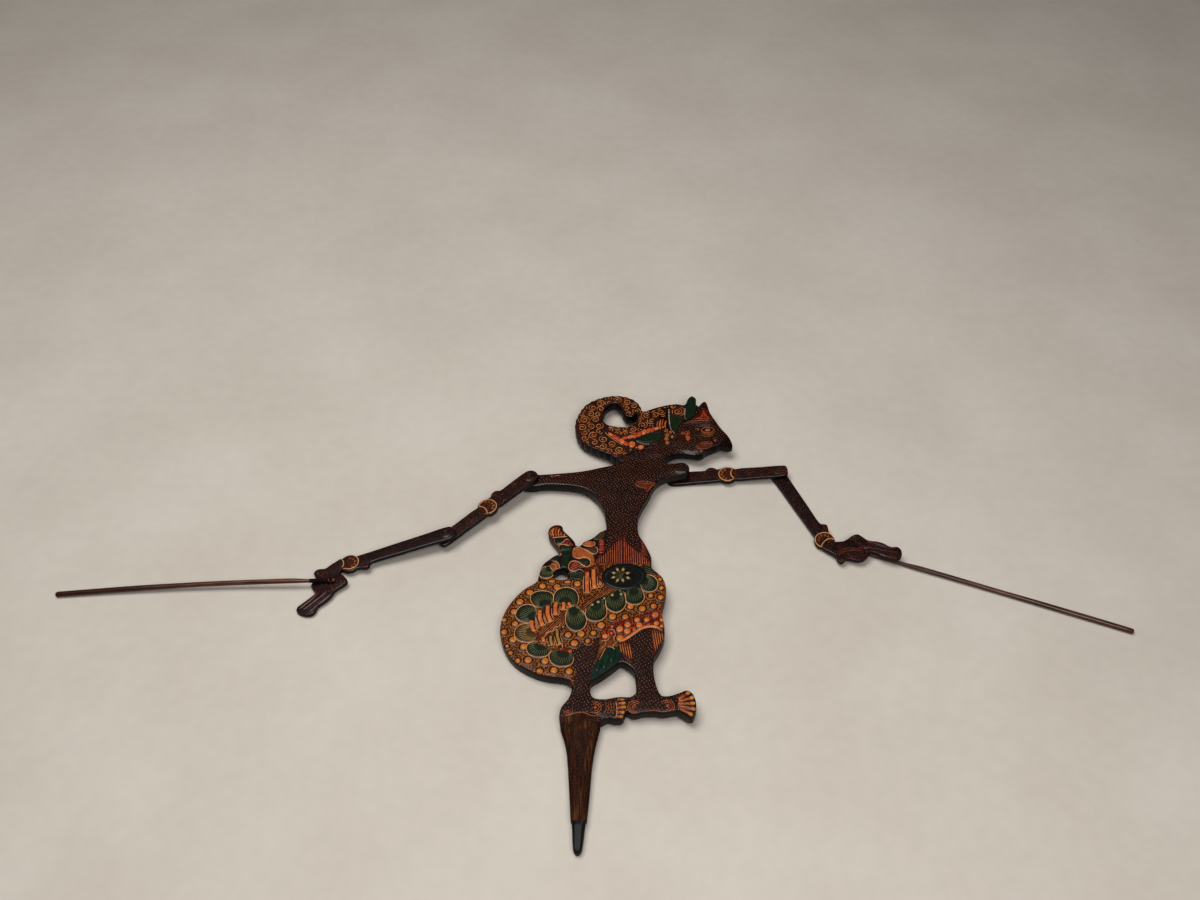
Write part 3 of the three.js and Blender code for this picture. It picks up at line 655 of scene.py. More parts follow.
# Each layer stands above the board's face and may run past its outline, which trims it: name, paint, top, outline
LAYERS = [
    ("heel", "spike", 12.15, [(-24, 110), (-24, 128), (-12, 126), (0, 129), (12, 128), (19, 124), (21, 118),
        (20, 110)]),
    ("leg_cloth", "cloth", 12.6, [(11.5, 156), (11.5, 166), (15, 178), (20, 188), (25, 194), (33, 195), (37.5, 191),
        (38.3, 185), (36.5, 178), (34, 170), (20, 156)]),
    ("front_cloth", "brown", 12.6, [(14, 174), (16, 182), (18.5, 192), (20, 206), (34, 206), (37, 196), (33, 192.5),
        (27, 192), (20, 184)]),
    ("left_stripes", "rust", 12.6, [(36.6, 200), (47, 199), (49.3, 186), (48.8, 176), (44.5, 179), (38.6, 187)]),
    ("right_stripes", "rust", 12.6, [(67.6, 214), (84, 214), (84, 186), (68.2, 180), (67.6, 196)]),
    ("left_leg", "skin", LEG_TOP, [(-6.3, 210), (-6, 178), (-6, 150), (-9.5, 139.5), (-20, 132), (-20, 123.5),
        (-9, 123), (0, 126), (10, 126), (17.5, 123), (26, 115), (44, 115), (43.5, 129), (43, 146), (20, 146),
        (9.8, 150), (10.5, 170), (17, 190), (20, 208)]),
    ("right_leg", "skin", LEG_TOP, [(47.5, 208), (50.5, 175), (52, 152), (50, 143), (44, 138), (45, 128), (50, 118),
        (108, 112), (110, 152), (88, 150), (72, 147), (68.5, 165), (67.5, 185), (67, 214)]),
    ("front_skirt", "gold", CLOTH_TOP, [(-7, 197), (-6, 178), (-7, 150), (-60, 150), (-90, 215), (-70, 262),
        (-40, 272), (-2, 271.5), (5, 283), (18, 292), (30, 289), (55, 289), (68, 286), (90, 270), (90, 213),
        (76, 212), (66, 215), (57, 212), (46, 204), (36, 200.5), (28, 205), (20, 205), (5, 199)]),
    ("bustle_folds", "black", CLOTH_TOP, [(24, 332), (8, 331), (-10, 350), (-40, 345), (-40, 315), (-28, 302),
        (-50, 292), (-50, 272.5), (-8, 272.5), (4, 285), (16, 298), (24, 315)]),
    ("hair", "hair", CLOTH_TOP, [(30, 425), (44, 430), (58, 438), (72, 445), (86, 450), (91, 462), (95.5, 468),
        (95.5, 500), (95, 515), (40, 530), (-20, 520), (-20, 440)]),
    ("crown_band", "hair", CLOTH_TOP, [(89, 463), (97, 462), (104, 472), (111, 480), (113, 505), (113, 520),
        (88, 520)]),
    ("face", "skin", CLOTH_TOP, [(92, 448), (100, 441), (112, 440), (130, 425), (170, 435), (165, 470), (140, 492),
        (136, 481), (118, 480), (108, 476), (101, 468), (95, 458)]),
    ("sash", "sash", ORNAMENT_TOP, [(20.5, 205), (24, 216), (36, 222), (55, 228), (79, 236), (90, 236), (90, 212),
        (76, 212), (66, 215), (57, 212), (46, 204), (36, 200.5), (28, 206)]),
    ("crown_leaf", "leaf", ORNAMENT_TOP, [(111, 480), (112.5, 495), (112, 505), (115, 512), (120, 520), (128, 515),
        (124.5, 498), (119.8, 485)]),
    ("brow_piece", "rust", ORNAMENT_TOP, [(121, 481.5), (126, 491), (131, 500), (133, 509), (137.5, 507), (138, 493),
        (140.5, 482)]),
]


def bulging(points, gap, rise):
    """A path whose edge bulges a little at each curl."""
    path = smooth(points)
    spots = spaced(path, gap / 6)
    side = normals(spots, False)
    count = len(spots)
    return [spot - n * rise * (abs(math.sin(math.pi * i / 6)) - 0.4) * min(1, i / 6, (count - 1 - i) / 6)
            for i, (spot, n) in enumerate(zip(spots, side))]


BOARD_OUTLINE += bulging(HAIR_EDGE, 8.2, 0.7)[4:-1]
OPENINGS = [HAIR_WINDOW, LEG_GAP, BUSTLE_HOLE]
board_rim = Rim([BOARD_OUTLINE, *OPENINGS], BOARD_EDGE)


# Where the nose begins to thin, its way, how long it is, where its face starts and how far it falls
NOSE_START, NOSE_TURN, NOSE_LENGTH, NOSE_TOP, NOSE_DROP = (140, 456), math.radians(-28), 23, 13.2, 6.0
NOSE_CUT_REACH, NOSE_STEPS = 26, 12     # the cutter's reach to each side, and the steps of its curve


CUT_ABOVE, CUT_BELOW = 20, -6       # cutters reach this high and low, well clear of the board
PLANK_STEPS, BEVEL_SEGMENTS, WELD = 5, 3, 1e-4


def worked_mesh(piece):
    """The mesh that a piece's curve or modifiers give."""
    return bpy.data.meshes.new_from_object(piece.evaluated_get(bpy.context.evaluated_depsgraph_get()))


def solid_object(name, mesh, weld=0.0):
    """An object of a closed mesh, with doubled points welded and its faces turned outward."""
    work = bmesh.new()
    work.from_mesh(mesh)
    if weld:
        bmesh.ops.remove_doubles(work, verts=work.verts, dist=weld)
    bmesh.ops.recalc_face_normals(work, faces=work.faces)
    work.to_mesh(mesh)
    work.free()
    return new_object(name, mesh)


def plank(name, outlines, bottom, top, edge, inset=0.0):
    """A flat piece with rounded edges. The outlines after the first are openings."""
    curve = bpy.data.curves.new(name, "CURVE")
    curve.dimensions = "2D"
    curve.fill_mode = "BOTH"
    curve.extrude = (top - bottom) / 2 / EDGE_FLATNESS - edge
    curve.bevel_depth = edge
    curve.bevel_resolution = BEVEL_SEGMENTS
    curve.offset = -edge - inset
    for outline in outlines:
        path = smooth(outline, True, PLANK_STEPS)
        spline = curve.splines.new("POLY")
        spline.points.add(len(path) - 1)
        for point, at in zip(spline.points, path):
            point.co = (at.x, at.y, 0, 1)
        spline.use_cyclic_u = True
    shape = new_object(name, curve)
    mesh = worked_mesh(shape)
    bpy.data.objects.remove(shape)
    mesh.transform(Matrix.Translation((0, 0, (top + bottom) / 2)) @ Matrix.Diagonal((1, 1, EDGE_FLATNESS, 1)))
    return solid_object(name, mesh, WELD)


def combine(piece, other, operation):
    """Cuts a piece with another, or trims it to the other, which is used up."""
    cut = piece.modifiers.new("combine", "BOOLEAN")
    cut.operation = operation
    cut.solver = "EXACT"
    cut.object = other
    mesh = worked_mesh(piece)
    piece.modifiers.clear()
    piece.data = mesh
    bpy.data.objects.remove(other)
    return piece


def turned(profile, count=24):
    """Rings of points about the z axis from radii and heights."""
    return [[(r * math.cos(2 * math.pi * i / count), r * math.sin(2 * math.pi * i / count), z) for i in range(count)]
            for r, z in profile]


def solid_from(name, rings):
    """A closed solid from rings of points, filled at both ends."""
    count = len(rings[0])
    points = [p for ring in rings for p in ring]
    faces = [(r * count + i, r * count + (i + 1) % count, (r + 1) * count + (i + 1) % count, (r + 1) * count + i)
             for r in range(len(rings) - 1) for i in range(count)]
    faces += [tuple(reversed(range(count))), tuple(range(len(points) - count, len(points)))]
    mesh = bpy.data.meshes.new(name)
    mesh.from_pydata(points, [], faces)
    return solid_object(name, mesh)


# A face is side or rounded edge below these, by how far it looks up, and is shaded flat above the last
SIDE_BELOW, EDGE_BELOW, FLAT_ABOVE = 0.35, 0.78, 0.995
SHARP_ANGLE, SPIKE_SHARP_ANGLE = math.radians(38), math.radians(42)


def finish_skin(piece, paint, place, body, side=None, edge=None):
    """Paints a worked piece's face, side and rounded edge, and puts it in the shared frame on its body."""
    mesh = piece.data
    mesh.materials.clear()
    for name in (paint, side or paint, edge or side or paint):
        mesh.materials.append(paints[name])
    for face in mesh.polygons:
        upright = abs(face.normal.z)
        face.material_index = 1 if upright < SIDE_BELOW else 2 if upright < EDGE_BELOW else 0
        face.use_smooth = upright < FLAT_ABOVE
    mesh.set_sharp_from_angle(angle=SHARP_ANGLE)
    mesh.transform(place)
    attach(piece, body)


def make_board():
    """The board, and each painted area as its own layer on the face and on the back."""
    board = plank("board_skin", [BOARD_OUTLINE, *OPENINGS], BACK, BOARD_THICKNESS, BOARD_EDGE)
    for side in LEANS:
        board = combine(board, shoulder_bore(side), "DIFFERENCE")
    board = shaved(taper_nose(board))
    finish_skin(board, "skin", board_place, "board", "side", "edge")
    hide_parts("body_board")
    middle = BOARD_THICKNESS / 2
    for name, paint, top, outline in LAYERS:
        for where, low, high in (("face", middle, top), ("back", behind(top), middle)):
            layer = trimmed(f"{name}_{where}", outline, low, high)
            if name == "face":
                layer = taper_nose(layer)
            finish_skin(shaved(layer, name), paint, board_place, "board", "side", "edge")
    make_spike()


LAYER_INSETS, LAYER_EDGE = (0.05, 0.07, 0.04), 0.45
PAST_MIDDLE_LOW, PAST_MIDDLE_HIGH = 1.5, 10.5


def trimmed(name, outline, low, high):
    """The part of a layer that lies within the board's outline, tried again with another inset if the cut fails.

    The plank that trims it runs on past the board's middle, so that only its outer side is rounded.
    """
    on_face = high > BOARD_THICKNESS
    under, over = (PAST_MIDDLE_LOW, high + 0.1) if on_face else (low - 0.1, PAST_MIDDLE_HIGH)
    for inset in LAYER_INSETS:
        layer = plank(name, [BOARD_OUTLINE, *OPENINGS], under, over, BOARD_EDGE, inset)
        layer = combine(layer, plank("cutter", [outline], low, high, LAYER_EDGE), "INTERSECT")
        if layer.data.vertices:
            return layer
        bpy.data.objects.remove(layer)
    raise ValueError(name)


# Where hands have worn the edge to a slope: along the outline, how far in, and which layers it cuts
SHAVED = [
    ([(93, 430), (98, 432.7), (108, 434.2), (120, 431.7), (127, 432.2), (131, 436.7)], 6.5, "face"),
    ([(70, 381), (74, 386.5), (79.5, 394.5), (88, 400.7), (100, 404.2), (110, 406.5)], 7.5, None),
    ([(43.5, 497), (41.5, 502.5), (36, 509.3), (28, 505.3), (24.3, 498)], 4.5, "hair"),
    ([(-58, 392.8), (-50, 391.8), (-38, 393.3), (-20, 392.3), (-6, 390)], 3.2, None),
]
SHAVE_FALL = 0.29         # of a slope's width, at the outline
SHAVE_STEP = 0.28         # of a slope's width, between the places of its rounded profile


def shaved(piece, layer=None):
    """Cuts the worn slopes, which fade out at both ends."""
    for path, width, cut_layer in SHAVED:
        if layer is not None and layer != cut_layer:
            continue
        spots = smooth(path)
        side = normals(spots, False)
        middle, last = len(spots) // 2, len(spots) - 1
        inward = 1 if board_rim.deep(*(spots[middle] + side[middle] * 3))[0] > 0 else -1
        top = {"hair": ORNAMENT_TOP, "face": CLOTH_TOP}.get(layer, BOARD_THICKNESS) + 0.02
        rings = []
        for i, (spot, normal) in enumerate(zip(spots, side)):
            reach = width * min(1, 0.1 + 4 * i / last, 0.1 + 4 * (last - i) / last)
            steps = [SHAVE_STEP * k for k in range(6)]
            curve = [(reach * (1 - step), top - reach * SHAVE_FALL * step ** 2) for step in steps]
            curve += [(curve[-1][0], CUT_ABOVE), (curve[0][0], CUT_ABOVE)]
            rings.append([(*(spot + normal * inward * u), z) for u, z in curve])
        piece = combine(piece, solid_from("shaving", rings), "DIFFERENCE")
    return piece


def taper_nose(piece):
    """The nose thins towards its tip, above and below."""
    way = Vector((math.cos(NOSE_TURN), math.sin(NOSE_TURN)))
    across = Vector((-way.y, way.x)) * NOSE_CUT_REACH
    start = Vector(NOSE_START)
    for under in (False, True):
        clear = CUT_BELOW if under else CUT_ABOVE
        profile = []
        for i in range(NOSE_STEPS + 1):
            fall = NOSE_DROP * (i / NOSE_STEPS) ** 2
            profile.append((NOSE_LENGTH * i / NOSE_STEPS * 1.08, fall * 0.5 if under else NOSE_TOP - fall))
        profile += [(NOSE_LENGTH * 1.3, profile[-1][1]), (NOSE_LENGTH * 1.3, clear), (-0.5, clear)]
        rings = [[(*(start + way * u + across * side), z) for u, z in profile] for side in (-1, 1)]
        piece = combine(piece, solid_from("nose_cutter", rings), "DIFFERENCE")
    return piece


def shoulder_bore(side):
    """The pin's hole, square to the leaning arm, with its head's recess on the far face."""
    far = BOARD_THICKNESS + ARM_GAPS[side]
    if side == "left":
        recess = BOARD_RECESS - far
        profile = [(HEAD_BORE, -2 - far), (HEAD_BORE, recess), (PIN_BORE, recess), (PIN_BORE, 3)]
    else:
        far += ARM_THICKNESS
        recess = far - BOARD_RECESS
        profile = [(PIN_BORE, ARM_THICKNESS), (PIN_BORE, recess), (HEAD_BORE, recess), (HEAD_BORE, far + 3)]
    bore = solid_from(f"bore_{side}", turned(profile))
    bore.data.transform(board_place.inverted() @ upper_place[side])
    return bore


# Distance from the tip, left edge, right edge and top of the spike
SPIKE = [(122, -16.2, 19.4, 12.28), (117, -16.2, 19.6, 12.28), (112, -15.7, 19.2, 12.12), (106, -13.6, 17.6, 11.7),
    (100, -11.8, 16.2, 11.4), (94, -10.6, 14.9, 11.2), (88, -9.6, 13.8, 11), (74, -8.4, 12, 10.8),
    (60, -7.5, 11, 10.5), (45, -6.5, 9.8, 10.3), (27, -5.4, 8, 10.0), (26, -4.5, 7.1, 9.1), (20, -4.1, 6.4, 8.9),
    (14, -3.9, 5.8, 8.6), (9, -3.6, 5.2, 8.3), (5, -3.3, 4.6, 8), (3, -2.9, 4.0, 7.6), (1.6, -2.2, 3.3, 7.2),
    (0.8, -1.5, 2.4, 6.8), (0.3, -0.8, 1.6, 6.2)]
SPIKE_BACK, SPIKE_TIP = 0.4, 26.6
SPIKE_SQUARENESS = 0.75


def make_spike():
    """The hand spike, flat at the back and rounded elsewhere, with its dark tip."""
    rings = []
    for y, left, right, top in SPIKE:
        middle, half, rise = (left + right) / 2, (right - left) / 2, (top - SPIKE_BACK) / 2
        ring = []
        for i in range(40):
            a = 2 * math.pi * (i + 0.5) / 40
            c, s = math.cos(a), math.sin(a)
            x = middle + half * math.copysign(abs(c) ** SPIKE_SQUARENESS, c)
            z = SPIKE_BACK + rise + (rise + 0.5) * math.copysign(abs(s) ** SPIKE_SQUARENESS, s)
            ring.append((x, y, min(max(z, SPIKE_BACK), top)))
        rings.append(ring)
    spike = solid_from("spike", rings)
    spike.data.materials.append(paints["spike"])
    spike.data.materials.append(paints["tip"])
    for face in spike.data.polygons:
        face.material_index = 1 if face.center.y < SPIKE_TIP else 0
        face.use_smooth = True
    spike.data.set_sharp_from_angle(angle=SPIKE_SHARP_ANGLE)
    spike.data.transform(board_place)
    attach(spike, "board")


# ---- the carving on the board's face: many small raised shapes, one piece for each colour and part

class Carving:
    """Reliefs by colour for one part of the puppet, made in the order in which they are first used."""

    def __init__(self, part, **settings):
        self.part, self.settings, self.reliefs = part, settings, {}

    def __getitem__(self, paint):
        if paint not in self.reliefs:
            self.reliefs[paint] = Relief(f"{self.part}_{paint}", paint, **self.settings)
        return self.reliefs[paint]

    def lines(self, paint, width, height, z, *lines, **settings):
        """Raised lines of one colour and size."""
        for line in lines:
            self[paint].ridge(line, width, height, z, **settings)

    def make(self):
        for relief in self.reliefs.values():
            relief.make()


BEAD_GROWTH, RAY_START, RAY_SPACING = 1.1, 1.15, 1.7
LOBE_HEIGHT = 0.7


def ringed_bead(c, x, y, r, z, paint="bead", rays=0.0, ry=None):
    """A round bead in a dark outline ring, which is set off to its lower left as a painted shadow, with short rays
    about it.
    """
    r, ry = r * BEAD_GROWTH, (ry or r) * BEAD_GROWTH
    if rays:
        c["black"].bead(x, y, r + 1.0 + rays, 0.14, z, ry + 1.0 + rays, count=20)
    # The bead's painted outline, moved to the lower left so that its wider side there is a painted shadow
    c["black"].bead(x - 0.4, y - 0.4, r + 0.8, 0.28, z, ry + 0.8)
    c[paint].bead(x, y, r, 1.15, z, ry)
    count = int(2 * math.pi * (r + 2) / RAY_SPACING) if rays else 0
    for i in range(count):
        a = 2 * math.pi * (i + dice.uniform(-0.2, 0.2)) / count
        reaches = RAY_START, RAY_START + rays * dice.uniform(0.85, 1.15)
        ray = [(x + (r + far) * math.cos(a), y + (ry + far) * math.sin(a)) for far in reaches]
        c["bead"].stroke(ray, 0.8, 0.45, z)


def lobe(c, rim, z, paint="green", hatch="hatch", gap=2.8):
    """A cloth lobe: strokes fan from its root, and a pale piping runs round its rim between dark lines."""
    c[paint].pad(rim, LOBE_HEIGHT, z, 1.0)
    path = smooth(rim)
    root = (path[0] + path[-1]) / 2
    deep = max((p - root).length for p in path)
    root = root - (path[len(path) // 2] - root).normalized() * deep * 0.35
    for at in spaced(path, gap)[1:]:
        c[hatch].stroke([root.lerp(at, 0.5), root.lerp(at, 0.9)], 0.75, 0.26, z + LOBE_HEIGHT)
    way = 1 if area(path) < 0 else -1
    side = normals(path, False)
    for off, width, height in ((1.3, 1.1, 0.3), (-1.0, 0.9, LOBE_HEIGHT * 0.9)):
        c["black"].stroke([p + n * way * off for p, n in zip(path, side)][::3], width, height, z)
    piping = [p + n * way * 0.3 for p, n in zip(path, side)][::2]
    c["piping"].ridge(piping, 0.95, LOBE_HEIGHT + 0.3, z, steps=2, taper=0.6)


def stick(c, points, width, z, paint="amber", bed="rust"):
    """A long raised petal in a dark bed, with pale piping round its lower end."""
    path = smooth(points)
    side = normals(path, False)
    way = (path[-1] - path[-2]).normalized()
    third = len(path) // 3
    for reach, fill, up in ((width / 2 + 1.4, bed, 0.2), (width / 2 + 0.7, "black", 0.3)):
        left = [p + n * reach for p, n in zip(path, side)]
        right = [p - n * reach for p, n in zip(path, side)]
        around = left + [path[-1] + way * reach] + right[::-1]
        c[fill].pad(around[::2], up, z, 0.3, steps=2)
        if fill == bed:
            c["piping"].ridge(around[third:len(around) - third:2], 0.7, 0.55, z, steps=2)
    c[paint].ridge(points, width * 1.02, 1.15, z, taper=0.3)
    c[paint].bead(*(path[-1] - way * width * 0.35), width * 0.58, 1.25, z)


def strokes(c, paint, region, gap, turn, z, width=0.6, height=0.15, wander=0.0):
    """Parallel strokes that fill a region."""
    ring = smooth(region, True, 3)
    angle = math.radians(turn)
    along, across = Vector((math.cos(angle), math.sin(angle))), Vector((-math.sin(angle), math.cos(angle)))
    level = min(p.dot(across) for p in ring) + gap / 2
    high = max(p.dot(across) for p in ring)
    while level < high:
        hits = []
        for a, b in zip(ring, ring[1:] + ring[:1]):
            u, v = a.dot(across) - level, b.dot(across) - level
            if (u < 0) != (v < 0):
                hits.append(a.lerp(b, u / (u - v)).dot(along))
        hits.sort()
        for start, stop in zip(hits[::2], hits[1::2]):
            if stop - start > 1.2:
                ends = [along * t + across * level for t in (start + 0.4, (start + stop) / 2, stop - 0.4)]
                ends[1] += across * dice.uniform(-wander, wander)
                c[paint].stroke(ends, width, height, z)
        level += gap


def patch(c, paint, region, z, height=0.5, hatch=None, gap=1.5, turn=0, width=0.6, up=0.15, rim=None):
    """A raised patch with strokes on it, and piping round it."""
    c[paint].pad(region, height, z, 0.7)
    if hatch:
        strokes(c, hatch, region, gap, turn, z + height, width, up, 0.3)
    if rim:
        c[rim].ridge(region, 0.9, height + 0.3, z, closed=True)


def arcs(c, paint, x, y, radii, z, start=0, sweep=360, width=0.8, height=0.4):
    """Arcs about one centre."""
    count = max(6, int(sweep / 18))
    for r in radii:
        c[paint].ridge(arc(x, y, r, start, start + sweep, count + 1), width, height, z, steps=2, sides=3)


LOBES = [
    # each lobe's rim from one end of its root to the other
    ("green", [(-38, 238.5), (-42.5, 241), (-46.3, 247), (-46.5, 252.5), (-43.5, 256), (-38, 257.7), (-31, 257),
        (-26.3, 254), (-25.2, 250), (-26, 244.5)]),
    ("green", [(-24, 245), (-24.8, 251), (-22.5, 257), (-17, 260.8), (-11, 261), (-5, 258), (-2, 252.5), (-1.4, 246),
        (-3, 241)]),
    ("green", [(-42.5, 223.5), (-46, 221.8), (-52, 222.8), (-57, 225.3), (-60, 230), (-59.5, 235), (-56, 240),
        (-51, 242.2), (-45.5, 241.3), (-41.7, 237), (-41, 230)]),
    ("olive", [(-45.5, 219), (-51, 220.5), (-57, 218.3), (-60, 213), (-60, 208), (-57, 203.3), (-51, 200.6),
        (-45, 200.4), (-40.5, 202.5)]),
    ("green", [(-43.5, 199.8), (-47.8, 197), (-47.8, 191), (-44.5, 186.3), (-38, 184), (-31, 184.8), (-26.3, 188.8),
        (-27, 191.5)]),
    ("green", [(-24, 190), (-26.8, 188.5), (-27, 183), (-25, 178), (-20, 174.2), (-14, 173.4), (-8, 175.2),
        (-5.6, 178.5), (-5.6, 186.5)]),
    ("green", [(-8.5, 239), (-12.2, 232.5), (-12.5, 222), (-9.5, 215.2), (-4, 211.8), (1, 212.7), (5, 217),
        (6.5, 223), (5.3, 229), (2, 234), (-3, 238)]),
    ("green", [(7.5, 237), (6, 233), (6, 228), (9, 223.8), (14, 222.2), (20, 223.3), (24.5, 227.7), (25.5, 234),
        (24.2, 241), (24.5, 246)]),
    ("green", [(25.5, 248), (25, 243.5), (25.8, 238), (29, 233.8), (34, 231.8), (39, 233.7), (43, 239), (43.5, 246),
        (42.3, 253), (41, 256)]),
    ("green", [(44, 256), (44, 249), (44.7, 244), (48, 240.8), (53, 240.2), (58, 242.2), (61, 247), (60.6, 253),
        (58.5, 258)]),
    ("green", [(58.5, 262), (60, 257.2), (64, 254.8), (70, 255.2), (73.5, 259), (74.5, 265), (72.5, 270.3),
        (68, 273.8), (62, 274)]),
]
STICKS = [
    # each petal's line towards its round end, and its width
    ([(-45, 224), (-44.3, 218), (-42.5, 212.5)], 3.9), ([(-37.6, 235.5), (-37.2, 227), (-34.6, 219)], 4.2),
    ([(-30.2, 240.5), (-30, 231), (-27, 223)], 4.2), ([(-22.6, 244), (-23, 237), (-22.6, 230.8)], 4),
    ([(-15.5, 244), (-15.1, 240), (-15.4, 236.3)], 3.6), ([(-10.3, 243.8), (-9.4, 240.8), (-8.6, 238.4)], 3.4),
    ([(7, 279), (6.7, 268), (7.1, 255.6)], 4.1), ([(13, 282), (13.1, 272), (14, 260.5)], 4.2),
    ([(19.5, 267), (19.6, 263.6)], 3.2), ([(-21, 213.5), (-20, 205.5), (-17.8, 198)], 2.9),
    ([(-26.6, 206.5), (-26.2, 201), (-25.2, 197)], 2.9), ([(-33.8, 205), (-32.6, 200.6)], 3.3),
]
BEADS = [(-48, 256.5, 3.2), (-36, 263.7, 3), (-22, 262.3, 3.1), (-57, 246, 3.2), (-62, 234.5, 3), (-71, 225.7, 2.3),
    (-60.5, 221, 2.8), (-70.3, 212, 2.8), (-61.5, 203.5, 3.2), (-51.3, 195.3, 3.1), (-63, 189, 2),
    (-46.5, 181.2, 3.2), (-56, 180.6, 2.2), (-31, 179.8, 3.2), (-35.5, 169, 2.8), (-22.5, 169.6, 3.1),
    (-8.7, 168.3, 3.1), (-10.3, 207.6, 2.9), (1.5, 208.3, 3.2), (-4.4, 198.3, 3.2), (8, 200.6, 2.3),
    (20.3, 217.5, 3.3), (31, 227, 3.2), (43, 226.3, 2.8), (48, 238, 2.8), (59, 235.4, 3.1), (70, 238, 2.7),
    (67.6, 250.3, 2.4), (77, 248, 2.6), (78, 259, 2.2), (13.2, 209, 2.5), (-66.5, 196.5, 1.7), (77, 269, 1.9),
    (-2.5, 265.8, 3.1)]
SASH_BEADS = [(24, 205, 2.7, "amber"), (30, 208.3, 1.8, "ember"), (37.6, 212.4, 3.2, "amber"),
    (37.8, 202.6, 3.3, "bead"), (45, 217, 2.9, "amber"), (44.5, 210, 3, "amber"), (54, 222.3, 2.7, "amber"),
    (56, 216.5, 2.9, "amber"), (63, 222.3, 2.6, "amber"), (71, 227.6, 3, "amber"), (72, 218.3, 2.5, "amber"),
    (77, 222, 1.9, "amber"), (76.6, 214.8, 1.8, "amber"), (64.5, 216.8, 1.7, "ember"), (30.5, 215.5, 1.5, "amber"),
    (51, 211.5, 1.6, "amber")]


BELT, FLOWER = (43, 273), (39.5, 274.6)


